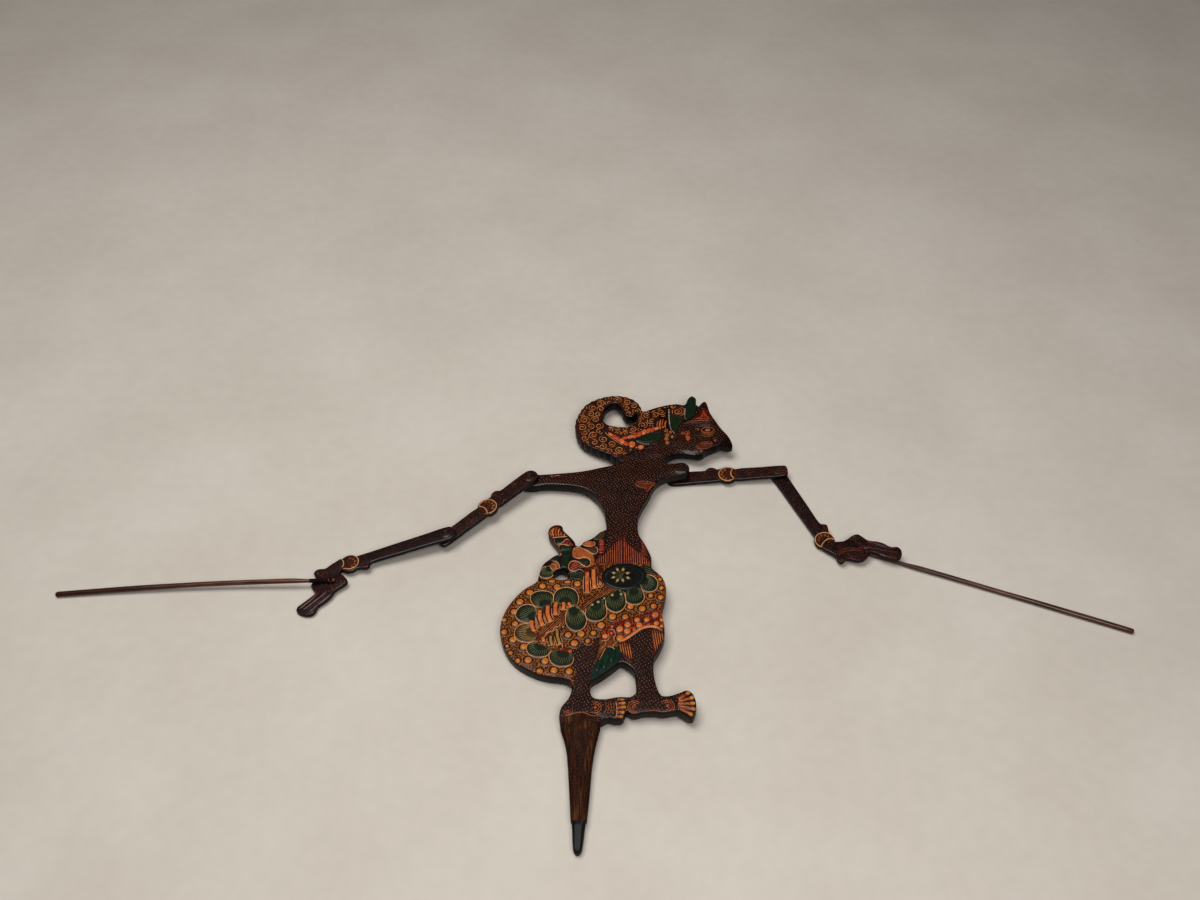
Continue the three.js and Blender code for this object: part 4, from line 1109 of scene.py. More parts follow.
def carve_skirt():
    """Lobes, petals, beads, belt, sash, the cloths beside the legs and the pleated fan."""
    c = Carving("skirt", rim=board_rim)
    z = CLOTH_TOP
    for region, turn in (([(-40, 207), (-35, 213), (-28, 219), (-22, 226), (-15, 233), (-12.5, 234), (-13, 222),
            (-17, 217), (-22, 214), (-28, 208), (-33, 203), (-37.5, 201.5)], 50),
            ([(-1.5, 232.5), (-0.5, 238), (7, 245), (14, 251), (22, 257), (29, 262.5), (37, 259.5), (34, 256),
            (26, 251), (18, 247.5), (10, 241.5), (5.5, 235)], 42)):
        patch(c, "rust", region, z, 0.35, "curl", 1.9, turn, 0.75, 0.25)
    # dark green between the right-hand lobes and the band over them
    c["green"].pad([(6, 236), (10, 242.5), (18, 248.5), (26, 252), (34, 257), (44, 259), (56, 262), (61, 266),
        (60, 256), (44, 250), (25, 243), (8, 234)], 0.45, z, 0.4)
    for paint, rim in LOBES:
        lobe(c, rim, z, paint, "straw" if paint == "olive" else "hatch")
    for k, (points, width) in enumerate(STICKS):
        stick(c, points, width, z + 0.1, "straw" if k in (9, 10) else "amber", "green" if k > 8 else "rust")
    for x, y, r in ((12, 240.8, 1.5), (17.6, 243.8, 1.8), (23.5, 248, 1.4), (31, 251.5, 1.9), (39.5, 252.3, 1.6),
            (-15, 216.5, 1.4), (3.5, 232.5, 1.3)):
        c["black"].bead(x, y, r + 0.7, 0.8, z)
        c["cream"].bead(x, y, r, 1.2, z)
    c.lines("piping", 0.8, 0.75, z, [(-14, 221.5), (-17.5, 220.8), (-19, 217.3), (-22.5, 216.5), (-25, 212.3),
        (-30, 210.3), (-32, 206), (-35.5, 202)], [(-18, 191.3), (-15.4, 193.5), (-16, 199)],
        [(-42.5, 237), (-41.6, 228), (-40, 219), (-37.5, 214.8)],
        [(-1.5, 233.5), (-0.5, 229.5), (2.5, 231), (4.5, 229.5)], [(4, 277), (3.2, 268), (3.3, 258)], taper=1)
    patch(c, "rust", [(-21.5, 190), (-18.5, 195), (-12.5, 194), (-7, 191), (-7, 188), (-14, 188.3)], z, 0.35, "ember",
        1.6, 70, 0.6)
    ringed_bead(c, -8.3, 189.6, 1.9, z + 0.2, "ember")
    for x, y, r in BEADS:
        ringed_bead(c, x, y, r, z, rays=1.5)
    for x, y, rx, ry in ((-27, 269.4, 2.8, 1.8), (-12, 268, 3.3, 1.7)):
        ringed_bead(c, x, y, rx, z, rays=1, ry=ry)
    # belt with its flower
    c["black"].pad(oval(*BELT, 22.3, 15.9, count=18), 0.5, z, 0.5)
    c["belt"].pad(oval(*BELT, 21.5, 15.1, count=18), 0.95, z, 1.3)
    top = z + 0.95
    for i in range(56):
        a = 2 * math.pi * i / 56
        ends = [(BELT[0] + rx * math.cos(a), BELT[1] + ry * math.sin(a)) for rx, ry in ((16.6, 10.9), (19.4, 13.2))]
        c["green"].stroke(ends, 0.55, 0.18, top)
    arcs(c, "hatch", *FLOWER, (4.7,), top, width=0.5, height=0.25)
    c["leaf"].bead(*FLOWER, 4.2, 0.6, top)
    for i in range(9):
        a, r = math.radians(40 * i), 1.2 + i % 2 * 1.4
        c["straw"].bead(FLOWER[0] + r * math.cos(a), FLOWER[1] + r * math.sin(a), 0.42, 0.3, top + 0.45, count=7)
    for x, y in ((36.3, 280.9), (41.7, 281), (46, 276.6), (46.2, 271), (41.3, 268.2), (36.1, 268.4), (32.5, 272),
            (32.7, 277.2)):
        out = Vector((x - FLOWER[0], y - FLOWER[1])).normalized()
        c["cream"].bead(x, y, 1.75, 0.7, top, 1.45, math.degrees(math.atan2(out.y, out.x)))
        c["straw"].stroke([(x + out.x, y + out.y), (x + out.x * 3.2, y + out.y * 3.2)], 0.8, 0.3, top)
    patch(c, "green", [(61, 286.8), (66.5, 285.5), (72, 280), (75.3, 276), (70, 275.6), (65, 277), (60.8, 279)], z,
        0.6, "hatch", 2.2, -20, 0.4)
    # sash
    s = ORNAMENT_TOP
    c["umber"].pad([(54, 213), (60, 216.5), (68, 217.5), (78, 214), (79, 221), (76, 232), (66, 229.5), (56, 226)],
        0.2, s - 0.05, 0.5)
    for x, y, r, paint in SASH_BEADS:
        ringed_bead(c, x, y, r, s, paint)
    c["amber"].ridge([(34, 200.3), (40, 200.8), (46, 204.3), (52, 209.2), (58, 213.6), (65, 215.6), (72, 214.6),
        (78, 210.3)], 2.4, 0.5, s)
    c["piping"].ridge([(33, 199), (40, 199.4), (46, 202.9), (52, 207.8), (58, 212.2), (65, 214.2), (72, 213.2),
        (78, 209)], 1.0, 0.9, s - 0.2)
    c["black"].ridge([(20.5, 209), (27, 215), (37, 220.3), (50, 225), (62, 228.7), (79, 234.7)], 1.3, 0.5, s - 0.4)
    c["piping"].ridge([(27, 213), (32, 211.5), (33.5, 206), (32, 203), (33.5, 199)], 0.7, 0.6, s)
    c["piping"].ridge([(20, 199), (22, 200.2), (25.5, 200.4), (27.5, 203), (27, 210)], 0.7, 0.6, s)
    # cloths beside the legs
    t = 12.7
    for folds in ([(16, 168), (18, 175), (20.5, 180)], [(22.5, 171), (25, 181), (27, 188)],
            [(29, 178), (31.5, 185), (32, 191)]):
        c["cloth"].ridge(folds, 5.4, 0.8, t, taper=0.7)
    c.lines("black", 0.7, 0.55, t, [(20.5, 169), (23.5, 181), (25.5, 190)], [(26.5, 174), (29.5, 184), (30, 192)],
        [(17, 176), (22, 186), (25.5, 193)])
    c.lines("piping", 0.7, 0.6, t, [(17.5, 177), (21.5, 186), (25, 193.5)], [(20, 192), (24, 196), (25, 201)],
        [(31, 193.5), (32.5, 197), (35, 199)], [(26, 194), (30, 193.5), (33, 191)])
    strokes(c, "brown", [(17.5, 181), (20, 190), (21, 203), (33, 203), (35, 195), (30, 194), (24, 194)], 2.2, 76, t,
        1.2, 0.45, 0.3)
    strokes(c, "curl", [(37, 198), (46, 197.5), (48.5, 186), (48, 179.5), (44, 183), (38, 189)], 2.1, 98, t, 0.85,
        0.45)
    strokes(c, "curl", [(68, 211), (74, 211.5), (78, 206), (77.5, 200), (74, 192.5), (69.3, 187.5), (68.3, 196)], 2.1,
        96, t, 0.8, 0.45)
    # the pleated fan above the belt
    t = BOARD_THICKNESS
    c["rust"].pad([(15.5, 286), (16, 296), (20, 299), (25, 303.5), (30, 310), (35, 316), (38, 321), (41.5, 324.5),
        (44, 321), (47, 315), (52, 309), (57, 304.5), (62, 300), (66, 296), (69, 290.5), (68, 284.5), (43, 288)], 0.5,
        t, 0.4, steps=3)
    tops = [(16.3, 296), (18.5, 298.3), (20.7, 299.5), (22.9, 301.3), (25, 303), (27.2, 306.2), (29.4, 309.5),
        (31.5, 312), (33.7, 314.5), (35.9, 317.7), (38, 321), (40.2, 320), (43.2, 322.8), (45.2, 316.5),
        (47.3, 313.5), (49.5, 311.4), (51.7, 309), (53.8, 306), (56, 304), (58.2, 302.6), (60.4, 300.5),
        (62.5, 297.5), (64.6, 295), (66.8, 291.6)]
    for x, top in tops:
        base = 286.3 + 2.6 * math.cos(min(1, abs(x - 42) / 26) * math.pi / 2)
        c["pleat"].ridge([(x + (42 - x) * -0.02, base), (x, (top + base) / 2), (x + dice.uniform(-0.2, 0.2), top)],
            0.68, 0.6, t + 0.4, sides=3)
    leaf = [(58.5, 300), (60, 308), (59.5, 315), (61, 318), (64, 311), (66.5, 302), (64, 299)]
    patch(c, "rust", leaf, t, 0.5, "ember", 1.9, 12, 0.6, 0.25)
    c.make()


def carve_bustle():
    """The winding folds behind the waist."""
    c = Carving("bustle", rim=board_rim)
    z = CLOTH_TOP
    patch(c, "rust", [(-24.5, 337.5), (-20, 335.5), (-18.5, 330.5), (-14.5, 327), (-12, 323.6), (-19, 323),
        (-26, 322), (-29.5, 323), (-31.2, 329), (-29.8, 334.5)], z, 0.4)
    for k, line in enumerate(([(-29, 324), (-30.2, 329), (-28.5, 333.5)],
            [(-26.8, 323.5), (-28, 330), (-26.5, 335.5)], [(-24.3, 323.6), (-25, 330), (-23.7, 336.3)],
            [(-21.7, 324), (-22.2, 329.5), (-21, 334)], [(-19, 324), (-19.5, 328), (-18.6, 330)],
            [(-16.3, 324.3), (-16.3, 327)])):
        c["fold" if k % 2 == 0 else "amber"].ridge(line, 2.1 - 0.5 * (k % 2), 0.75, z + 0.3)
    c["piping"].ridge([(-29, 322), (-24, 322.8), (-18, 323.3), (-12.3, 323.6)], 0.95, 0.95, z)
    patch(c, "green", oval(-21.5, 318.2, 3.7, 3, -10, 10), z, 0.6)
    c["piping"].ridge([(-25.5, 321.8), (-26, 317.5), (-24, 314.8), (-20, 314.6), (-17.3, 317), (-13.8, 320.2),
        (-10, 319)], 0.85, 0.95, z)
    patch(c, "rust", [(-17, 315.3), (-13, 319), (-9.5, 317.3), (-7, 312.8), (-12, 312.2)], z, 0.5, "ember", 1.7, 78,
        0.8, 0.3)
    patch(c, "leaf", [(-18.5, 312), (-12.5, 311.5), (-8, 311), (-8.3, 303), (-10.5, 295), (-12.5, 285.5),
        (-17, 284.5), (-18.5, 292), (-17.5, 300), (-19.5, 306)], z, 0.6, "green", 1.9, 84, 0.9, 0.25)
    c["piping"].ridge([(-7.3, 313), (-12, 312.3), (-16, 313.8), (-20, 313.4), (-22.3, 311), (-22.6, 307.5),
        (-20.3, 305), (-19, 302.5), (-20, 300.3), (-22.3, 300.6)], 0.9, 0.9, z)
    patch(c, "green", [(-22, 299.5), (-26.5, 298.5), (-30, 295), (-27, 293.8), (-22, 294)], z, 0.5)
    patch(c, "fold", [(-28.8, 289.5), (-26, 292), (-22.5, 291), (-21, 287), (-21.8, 283), (-24.6, 282),
        (-27.6, 284.5)], z, 0.7)
    c["piping"].ridge([(-28.6, 293.8), (-23.5, 292.6), (-20.6, 289), (-20.8, 284), (-23.8, 281.4), (-27, 283),
        (-29.2, 286.5), (-29.7, 290)], 0.9, 1.0, z)
    c["piping"].ridge([(-28, 290.2), (-24.3, 289.4), (-23.5, 286.6), (-24.6, 285)], 0.7, 0.95, z)
    lobe(c, [(-30, 287), (-35.5, 286), (-38.5, 281.5), (-39, 276.5), (-36, 273.6), (-30.5, 273.4), (-26.8, 276),
        (-25.8, 279.5), (-28, 283)], z, gap=2.2)
    # the S-shaped folds on the right
    fold = [(-8, 303), (-6.5, 307.8), (-2, 309.4), (3, 307.4), (7, 304), (11, 301), (13.5, 297.5), (14, 292),
        (12.3, 287), (10.8, 287), (10.6, 291.5), (8.5, 295.3), (4, 297.3), (-1, 296.3), (-5, 297.5), (-7.7, 300)]
    patch(c, "fold", fold, z, 0.75, "amber", 1.9, 62, 0.6, 0.2)
    c["piping"].ridge(fold[:7], 0.9, 1.1, z)
    c["piping"].ridge([(-8, 303), (-7.6, 299.6), (-5, 297.2), (-1, 296), (4, 297), (8.3, 295.3), (10.3, 291.5),
        (9.3, 287.6), (6.5, 285.7), (2.5, 287.6), (-1.5, 291.4), (-5, 293), (-9, 292.2), (-11, 289), (-11, 284.3),
        (-8.6, 281.2), (-4.5, 281), (-1.3, 282.9), (1.8, 281.8), (4.9, 277.7)], 0.95, 1.05, z)
    patch(c, "green", [(-1.5, 293.6), (3, 295.6), (7.6, 294), (9, 291), (7.9, 288.3), (5.6, 287.2), (2.5, 289),
        (-0.5, 292)], z, 0.6, "hatch", 2.2, -50, 0.4)
    patch(c, "rust", [(-10, 289), (-8, 291.6), (-4.5, 291.8), (-1, 289.3), (3, 286), (5.5, 284.6), (0, 284),
        (-4.5, 282.3), (-8, 282.3), (-10, 284.6)], z, 0.6, "ember", 1.7, -25, 0.9, 0.3)
    patch(c, "green", [(-10.5, 280), (-5, 280), (-0.5, 281.3), (3.2, 279.5), (4.5, 274.5), (1, 271.5), (-9, 272),
        (-11, 275.5)], z, 0.6, "hatch", 2.1, 80, 0.45)
    patch(c, "fold", [(3, 314.6), (8, 317.6), (12.5, 316), (13.6, 313.6), (10.5, 311.6), (5.5, 312)], z, 0.65,
        "amber", 1.8, 20, 0.6, 0.2)
    c["piping"].ridge([(1.7, 315.5), (3, 312.8), (6.5, 311), (11, 310.8), (14, 312.5), (14.3, 315), (12, 317.4)],
        0.85, 0.95, z)
    patch(c, "olive", [(6.2, 306.6), (9.5, 309.4), (13.3, 309), (15.6, 306), (14.2, 302.9), (10.6, 302.8),
        (8, 304.6)], z, 0.6, "green", 1.8, 30, 0.6)
    c["piping"].ridge([(3.4, 309.5), (7, 305.5), (11, 302), (14.8, 301.4), (16.8, 304.4), (16.2, 308.6),
        (13.6, 310.8)], 0.85, 0.95, z)
    patch(c, "olive", [(12.5, 320), (17, 325), (23.5, 330), (23.5, 322.5), (18, 318.5)], z, 0.5, "green", 1.9, 35,
        0.9, 0.25)
    patch(c, "rust", [(18, 302.5), (17.6, 311), (18.3, 319), (23, 319.5), (24.2, 311), (23.5, 302.5)], z, 0.5,
        "ember", 1.9, 0, 1.0, 0.35)
    c["rust"].pad([(4, 285), (8.5, 284.5), (12, 287), (16.5, 288), (21, 286), (22, 279), (18, 276), (18.5, 266),
        (16.5, 286), (10.5, 284), (9.5, 276), (4.5, 280)], 0.25, z, 0.3)
    c.make()


# The hair's curls fill its region, but not the places of the petals, leaves and brow
HAIR_REGION = [(30, 425), (44, 431), (52, 436), (60, 444), (72, 450), (84, 464), (93, 470), (93, 486), (111, 483),
    (111.5, 505), (92, 512), (40, 530), (-20, 520), (-20, 440)]
HAIR_BARE = [
    [(20.5, 469), (27, 458), (39, 446), (46, 441.5), (49.5, 440.5), (57, 438.5), (66, 439), (67, 446), (60, 450.5),
        (55, 455.5), (62, 456.5), (72, 461), (82, 465), (82, 471.5), (74, 471), (64, 466.5), (55, 461.5), (46, 459.5),
        (41, 461), (33, 464), (27, 471)],
    [(78, 466), (79, 481), (92, 484), (92, 464)],
    [(91.5, 460), (91.8, 480), (92.5, 498.5), (95.6, 498.5), (96, 490.5), (102, 489), (107, 486), (113, 482),
        (113, 470), (100, 456)],
]
CURLS = [
    # the middle of each curl, its weight against its neighbours and its way round
    (3, 457, 5.8, 1), (12.3, 461.5, 4.3, 1), (23, 454.8, 4.8, -1), (13, 450.5, 4.1, 1), (22, 444, 4.6, 1),
    (31.5, 447.8, 4.4, -1), (29, 437, 4.8, 1), (40, 438.8, 5.4, 1), (46.3, 431, 4.3, -1), (37.5, 463, 3.8, 1),
    (45, 461.5, 3.8, -1), (20, 500, 4.4, 1), (29, 509, 4.6, -1), (39, 512.5, 4.2, 1), (48.5, 509.5, 4.3, -1),
    (56, 503.5, 4.3, 1), (51, 492.3, 4.1, 1), (48.3, 500.5, 3.9, -1), (58.5, 495, 3.7, -1), (9, 492.5, 4.6, 1),
    (2.5, 484, 4.8, -1), (14, 484, 4.6, 1), (9.3, 474.5, 4.6, -1), (0, 472.5, 4.3, 1), (18.5, 474.5, 4.1, 1),
    (3, 465.3, 3.3, -1), (17.5, 491.5, 3.7, -1), (11.5, 502, 4.4, -1), (19.5, 508.5, 3.9, 1), (18.2, 466.5, 3.7, -1),
    (65, 474.2, 4.8, 1), (75.3, 480, 5, -1), (70, 489, 4.2, 1), (79, 489.8, 4.2, -1), (86, 493, 4.8, 1),
    (77, 472.5, 2.6, 1), (0, 493.5, 3.2, 1), (5.3, 450, 2.4, -1), (54.3, 437.5, 3.2, 1), (54.5, 468, 3.2, 1),
    (30, 467.5, 3.4, 1), (61, 482, 2.7, -1), (103.8, 493.3, 5.6, 1), (38.5, 470.3, 2.4, -1), (47, 469.5, 2.6, 1),
    (15.5, 442.5, 2.6, -1), (35, 431.5, 2.4, 1), (63, 466.8, 2.2, -1), (90.5, 500.5, 2.4, -1), (98.5, 501, 2.4, 1),
    (28, 516, 2.2, 1),
]


CURL_GAP, CURL_REACH, CURL_TURN = 2.75, 9.5, math.radians(20)
EDGE_MARGIN, NEAR = 1.9, 22


def fill_with_curls(relief, z):
    """Each curl winds outward from its place until it meets the next curl or the hair's edge."""
    region = smooth(HAIR_REGION, True, 3)
    keep_off = [smooth(outline, True, 2) for outline in HAIR_BARE]
    for k, (x, y, radius, way) in enumerate(CURLS):
        start = dice.uniform(0, 360)
        others = [o for i, o in enumerate(CURLS) if i != k and math.hypot(o[0] - x, o[1] - y) < NEAR]
        run = []
        steps = int(2 * math.pi * CURL_REACH / CURL_GAP / CURL_TURN)
        for i in range(steps + 1):
            r = 0.35 + CURL_GAP * CURL_TURN * i / (2 * math.pi)
            a = math.radians(start) + way * CURL_TURN * i
            u, v = x + r * math.cos(a), y + r * math.sin(a)
            own = all(r - radius * 0.5 < math.hypot(u - o[0], v - o[1]) - o[2] * 0.5 - 0.3 for o in others)
            free = own and inside(u, v, region) and not any(inside(u, v, ring) for ring in keep_off)
            if free and i < steps and board_rim.deep(u, v)[0] > EDGE_MARGIN:
                run.append((u, v))
            else:
                if len(run) > 2:
                    relief.ridge(run, 0.9, 0.5, z, steps=2, sides=3)
                run = []


def carve_head():
    """Hair, petals, leaves, brow, ear, eye, nostril and lips."""
    c = Carving("head", rim=board_rim)
    z = CLOTH_TOP
    fill_with_curls(c["curl"], z)
    # strings of petals across the hair
    c["black"].pad([(23, 469), (27.5, 461), (33, 455), (40, 449), (47.5, 442.8), (51, 444), (49, 450), (43, 455),
        (36, 460), (29, 464)], 0.2, z, 0.3)
    c["piping"].ridge([(23.2, 468.5), (27.5, 460.6), (33, 454.8), (40, 448.6), (46, 443.8)], 0.6, 0.45, z)
    for k, (x, y, rx, ry, turn) in enumerate(((30.5, 461.3, 3, 1.5, -48), (34.8, 457.8, 3.4, 2.2, -62),
            (38.6, 454.5, 3.8, 2.4, -60), (42.6, 451.2, 4, 2.5, -58), (46.6, 447.9, 3.6, 2.3, -50),
            (46.5, 456.3, 3.3, 1.8, 8), (52, 457.3, 3.5, 2.1, 18), (57.3, 459, 3.6, 2.3, 58),
            (61.8, 461.4, 3.8, 2.5, 60), (66.6, 463.7, 3.8, 2.5, 62), (71.4, 465.8, 3.6, 2.4, 62),
            (76, 467.4, 3.4, 2.2, 55), (80, 468.3, 2.6, 1.6, 30))):
        c["rust"].bead(x, y, rx + 1.2, 0.35, z, ry + 1.2, turn)
        c["ember" if k % 3 else "amber"].bead(x, y, rx + 0.55, 1.1, z, ry + 0.4, turn)
        a = math.radians(turn + 50)
        c["amber"].stroke([(x - math.cos(a) * rx * 0.7, y - math.sin(a) * rx * 0.7), (x, y)], 0.5, 0.3, z + 0.85)
    ringed_bead(c, 53.3, 446.2, 3.3, z, "amber", ry=4.3)
    ringed_bead(c, 62.5, 442, 3.1, z, "amber", ry=2.9)
    ringed_bead(c, 58, 441.5, 1.3, z, "ember")
    # leaves with rows of white dots
    for paint, region, ribs in (("leaf", [(57, 451.6), (63, 457), (70, 460.8), (78, 462.6), (85, 461.2), (86.5, 456),
            (82.5, 450.6), (76, 448), (68, 448.2), (62, 449.8)],
            ([(61, 453), (70, 457.5), (83, 459.5)], [(64, 451.5), (73, 453.5), (84, 456)],
            [(70, 450.5), (76, 451), (81, 452.5)])), ("leaf", [(95.6, 488.5), (100, 487.4), (104.5, 484),
            (110.8, 480.3), (106.5, 475), (103, 468), (100, 462.8), (96.4, 469), (95.3, 478)],
            ([(97.7, 486), (97.2, 477), (98.6, 468)], [(100.5, 485), (100, 476), (100.4, 467)],
            [(103.6, 482.5), (103, 476), (102.5, 470)], [(107, 480.5), (105.5, 476.5)]))):
        patch(c, paint, region, z, 0.8, rim="black")
        for rib in ribs:
            c["cloth"].ridge(rib, 1.0, 0.95, z)
    for line, gap, r in (([(59, 450), (66, 446.6), (72, 445.6)], 1.8, 0.5),
            ([(94.3, 496), (94.1, 485), (94.3, 475)], 2.1, 0.7), ([(94.3, 475), (95.5, 467), (98.5, 461)], 2.1, 0.5),
            ([(111.4, 481.5), (111.2, 488), (112, 497)], 2.2, 0.6),
            ([(30, 472.4), (40, 471.8), (50, 471.4)], 1.9, 0.45)):
        for at in spaced(smooth(line), gap):
            c["white"].bead(at.x, at.y, r, 0.75, z, count=8)
    c.lines("cloth", 1.1, 0.35, ORNAMENT_TOP, [(116.3, 484), (117.5, 496), (119.5, 510)],
        [(119, 487), (121, 499), (122.3, 511)], [(114, 484), (114.5, 494), (116.5, 505)])
    # the hatched brow piece and the bands under it
    for x in (123.6, 125.9, 128.2, 130.5, 132.8, 135.1, 137.4):
        top = 496 - abs(x - 131.8) * 1.5
        c["ember"].ridge([(x, 482), ((x + 131.8) / 2, (482 + top) / 2), (x * 0.45 + 131.8 * 0.55, top)], 0.9, 0.4,
            ORNAMENT_TOP)
    c["black"].pad([(128.5, 497), (129.5, 503), (133, 506), (136.3, 503.5), (136.2, 498), (132.5, 496)], 0.35,
        ORNAMENT_TOP, 0.5)
    c.lines("ochre", 0.9, 0.55, ORNAMENT_TOP - 0.3, [(121, 481), (130, 481.4), (140, 481.6)],
        [(114, 477), (122, 478.4), (131, 478.8), (140.5, 478.4)])
    c["rust"].ridge([(103, 471.5), (110, 476.2), (121, 476.4), (132, 476.6), (142, 476)], 1.6, 0.6, z - 0.1)
    c["black"].ridge([(98, 461.5), (101.5, 468), (107.5, 474), (115, 475.2), (124, 474.9), (134, 475), (142, 474.2)],
        1.1, 0.5, z - 0.1)
    # hair by the cheek: feathered strokes and a chain of small curls
    for k, line in enumerate(([(81.5, 468), (80.8, 474), (82.3, 480)], [(84, 467), (83.6, 474), (85.3, 482)],
            [(86.7, 467.5), (86.4, 475), (88, 483)], [(89.4, 469), (89.6, 476), (91, 480)])):
        c["black"].ridge(line, 2.6, 0.35, z)
        c["amber" if k % 2 else "fold"].ridge(line, 1.7, 0.95, z)
    for x, y, r, way in ((90, 465, 2.7, 1), (91.2, 459, 2.7, -1), (89.8, 453, 2.7, 1), (91, 447.3, 2.4, -1),
            (94.8, 462.5, 1.7, 1), (96, 456, 1.7, -1), (87, 470.5, 1.5, 1)):
        c["curl"].spiral(x, y, r, z - 0.2, 1.8, dice.uniform(0, 360), way, 0.75, 0.75)
    # ear with its drop
    c["rust"].pad([(105.5, 463.5), (111, 465), (116, 462.5), (116.5, 456), (114.5, 449.5), (111.3, 449), (109, 455),
        (106, 458)], 0.3, z, 0.8)
    c["ochre"].spiral(112, 460.8, 3.4, z + 0.2, 1.7, 200, 1, 1.15, 0.8)
    c["ochre"].spiral(107.3, 460.8, 2.1, z + 0.1, 1.5, 30, -1, 0.8, 0.6)
    c["ochre"].pad([(111.5, 457), (115, 455.5), (115.3, 451.8), (113, 449.6), (110.8, 452), (110.3, 455)], 0.9,
        z + 0.1, 0.8)
    # eye and brow
    arcs(c, "ochre", 134.5, 464.3, (5.4, 7.2), z, 190, 160, 0.7, 0.5)
    c["ochre"].ridge([(127.8, 464), (130.5, 461.3), (135, 460.2), (139.3, 461.8), (141.5, 464.6), (138, 467.8),
        (133.5, 468.5), (129.7, 467)], 0.9, 0.65, z + 0.3, closed=True)
    c["black"].bead(134.8, 464.3, 5.2, 0.5, z + 0.2, 3, 4)
    c["curl"].bead(134.6, 464.4, 2.7, 0.45, z + 0.5, 1.7, 4)
    c["black"].bead(134.6, 464.5, 1.2, 0.4, z + 0.75, 1.1)
    # The white dot on the iris is a painted highlight
    c["white"].bead(134.2, 465, 0.45, 0.3, z + 1.1, count=8)
    c["ochre"].spiral(124, 465.8, 2.1, z, 1.4, 80, 1, 0.85, 0.5)
    c["skin"].ridge([(121, 470.5), (127, 472.8), (135, 472.6), (142.5, 468.5)], 2.6, 1.1, z)
    c["ochre"].ridge([(125.5, 469.8), (131, 470.9), (137.5, 470)], 0.6, 0.5, z)
    c["ochre"].ridge([(125, 458.5), (130, 455.6), (137, 455.8), (141, 458)], 0.55, 0.35, z)
    # nostril and lips
    c["ochre"].spiral(141.8, 449.8, 2.2, z, 1.3, 150, -1, 0.8, 0.45)
    c["rust"].pad([(119.5, 438), (123.5, 444), (129, 447.6), (135.5, 448.2), (139, 445.5), (137.5, 440), (130, 436.8),
        (123, 436)], 0.25, z, 0.6)
    for lip, up in (([(120.8, 440.3), (124.5, 444.3), (129.5, 447), (135, 447.6), (138.3, 445.6), (134.5, 444.2),
            (129, 443.6), (124.8, 441.2)], 1.0), ([(122.3, 438.3), (127.5, 441.6), (133.5, 442.4), (137.6, 443.3),
            (136.4, 439.4), (130, 437.6), (125, 436.8)], 0.9)):
        c["umber"].pad(lip, up, z, 0.8)
        c["ochre"].ridge(lip, 0.55, up * 0.85, z, closed=True)
    c["black"].ridge([(121.3, 439.3), (127.5, 442.5), (133, 443.4), (138.5, 444.4)], 0.8, 0.9, z)
    c["ochre"].ridge([(124.5, 443), (129.5, 445.8), (134.5, 446.3)], 0.6, 0.3, z + 0.85)
    c.lines("rust", 1.3, 0.5, BOARD_THICKNESS, [(68, 429.5), (76, 431.5), (86, 429.8)],
        [(71, 427), (78, 428.3), (84, 427)])
    c.make()


# Toes: from the instep to the tip, with their width there
TOES = [
    ([(89, 137.5), (94, 141.2), (98, 144)], 4.2), ([(88.5, 135.5), (95, 137.4), (101, 139)], 4.3),
    ([(88, 133.3), (95, 133.4), (101.6, 133.6)], 4.3), ([(88.5, 131), (95, 129.6), (101.6, 128)], 4.2),
    ([(89.5, 128.5), (94.5, 125.6), (99, 122.8)], 4), ([(34.5, 138.6), (37, 138.8), (39.3, 138.3)], 2.4),
    ([(34.8, 134.4), (37.5, 134.8), (40, 134.8)], 3.4), ([(34.8, 130.3), (38, 130.6), (40.5, 130.7)], 3.6),
    ([(34.5, 126.2), (37.5, 126), (40, 125.6)], 3.6), ([(33.8, 122), (36.5, 121.5), (38.6, 121.4)], 3.2),
]


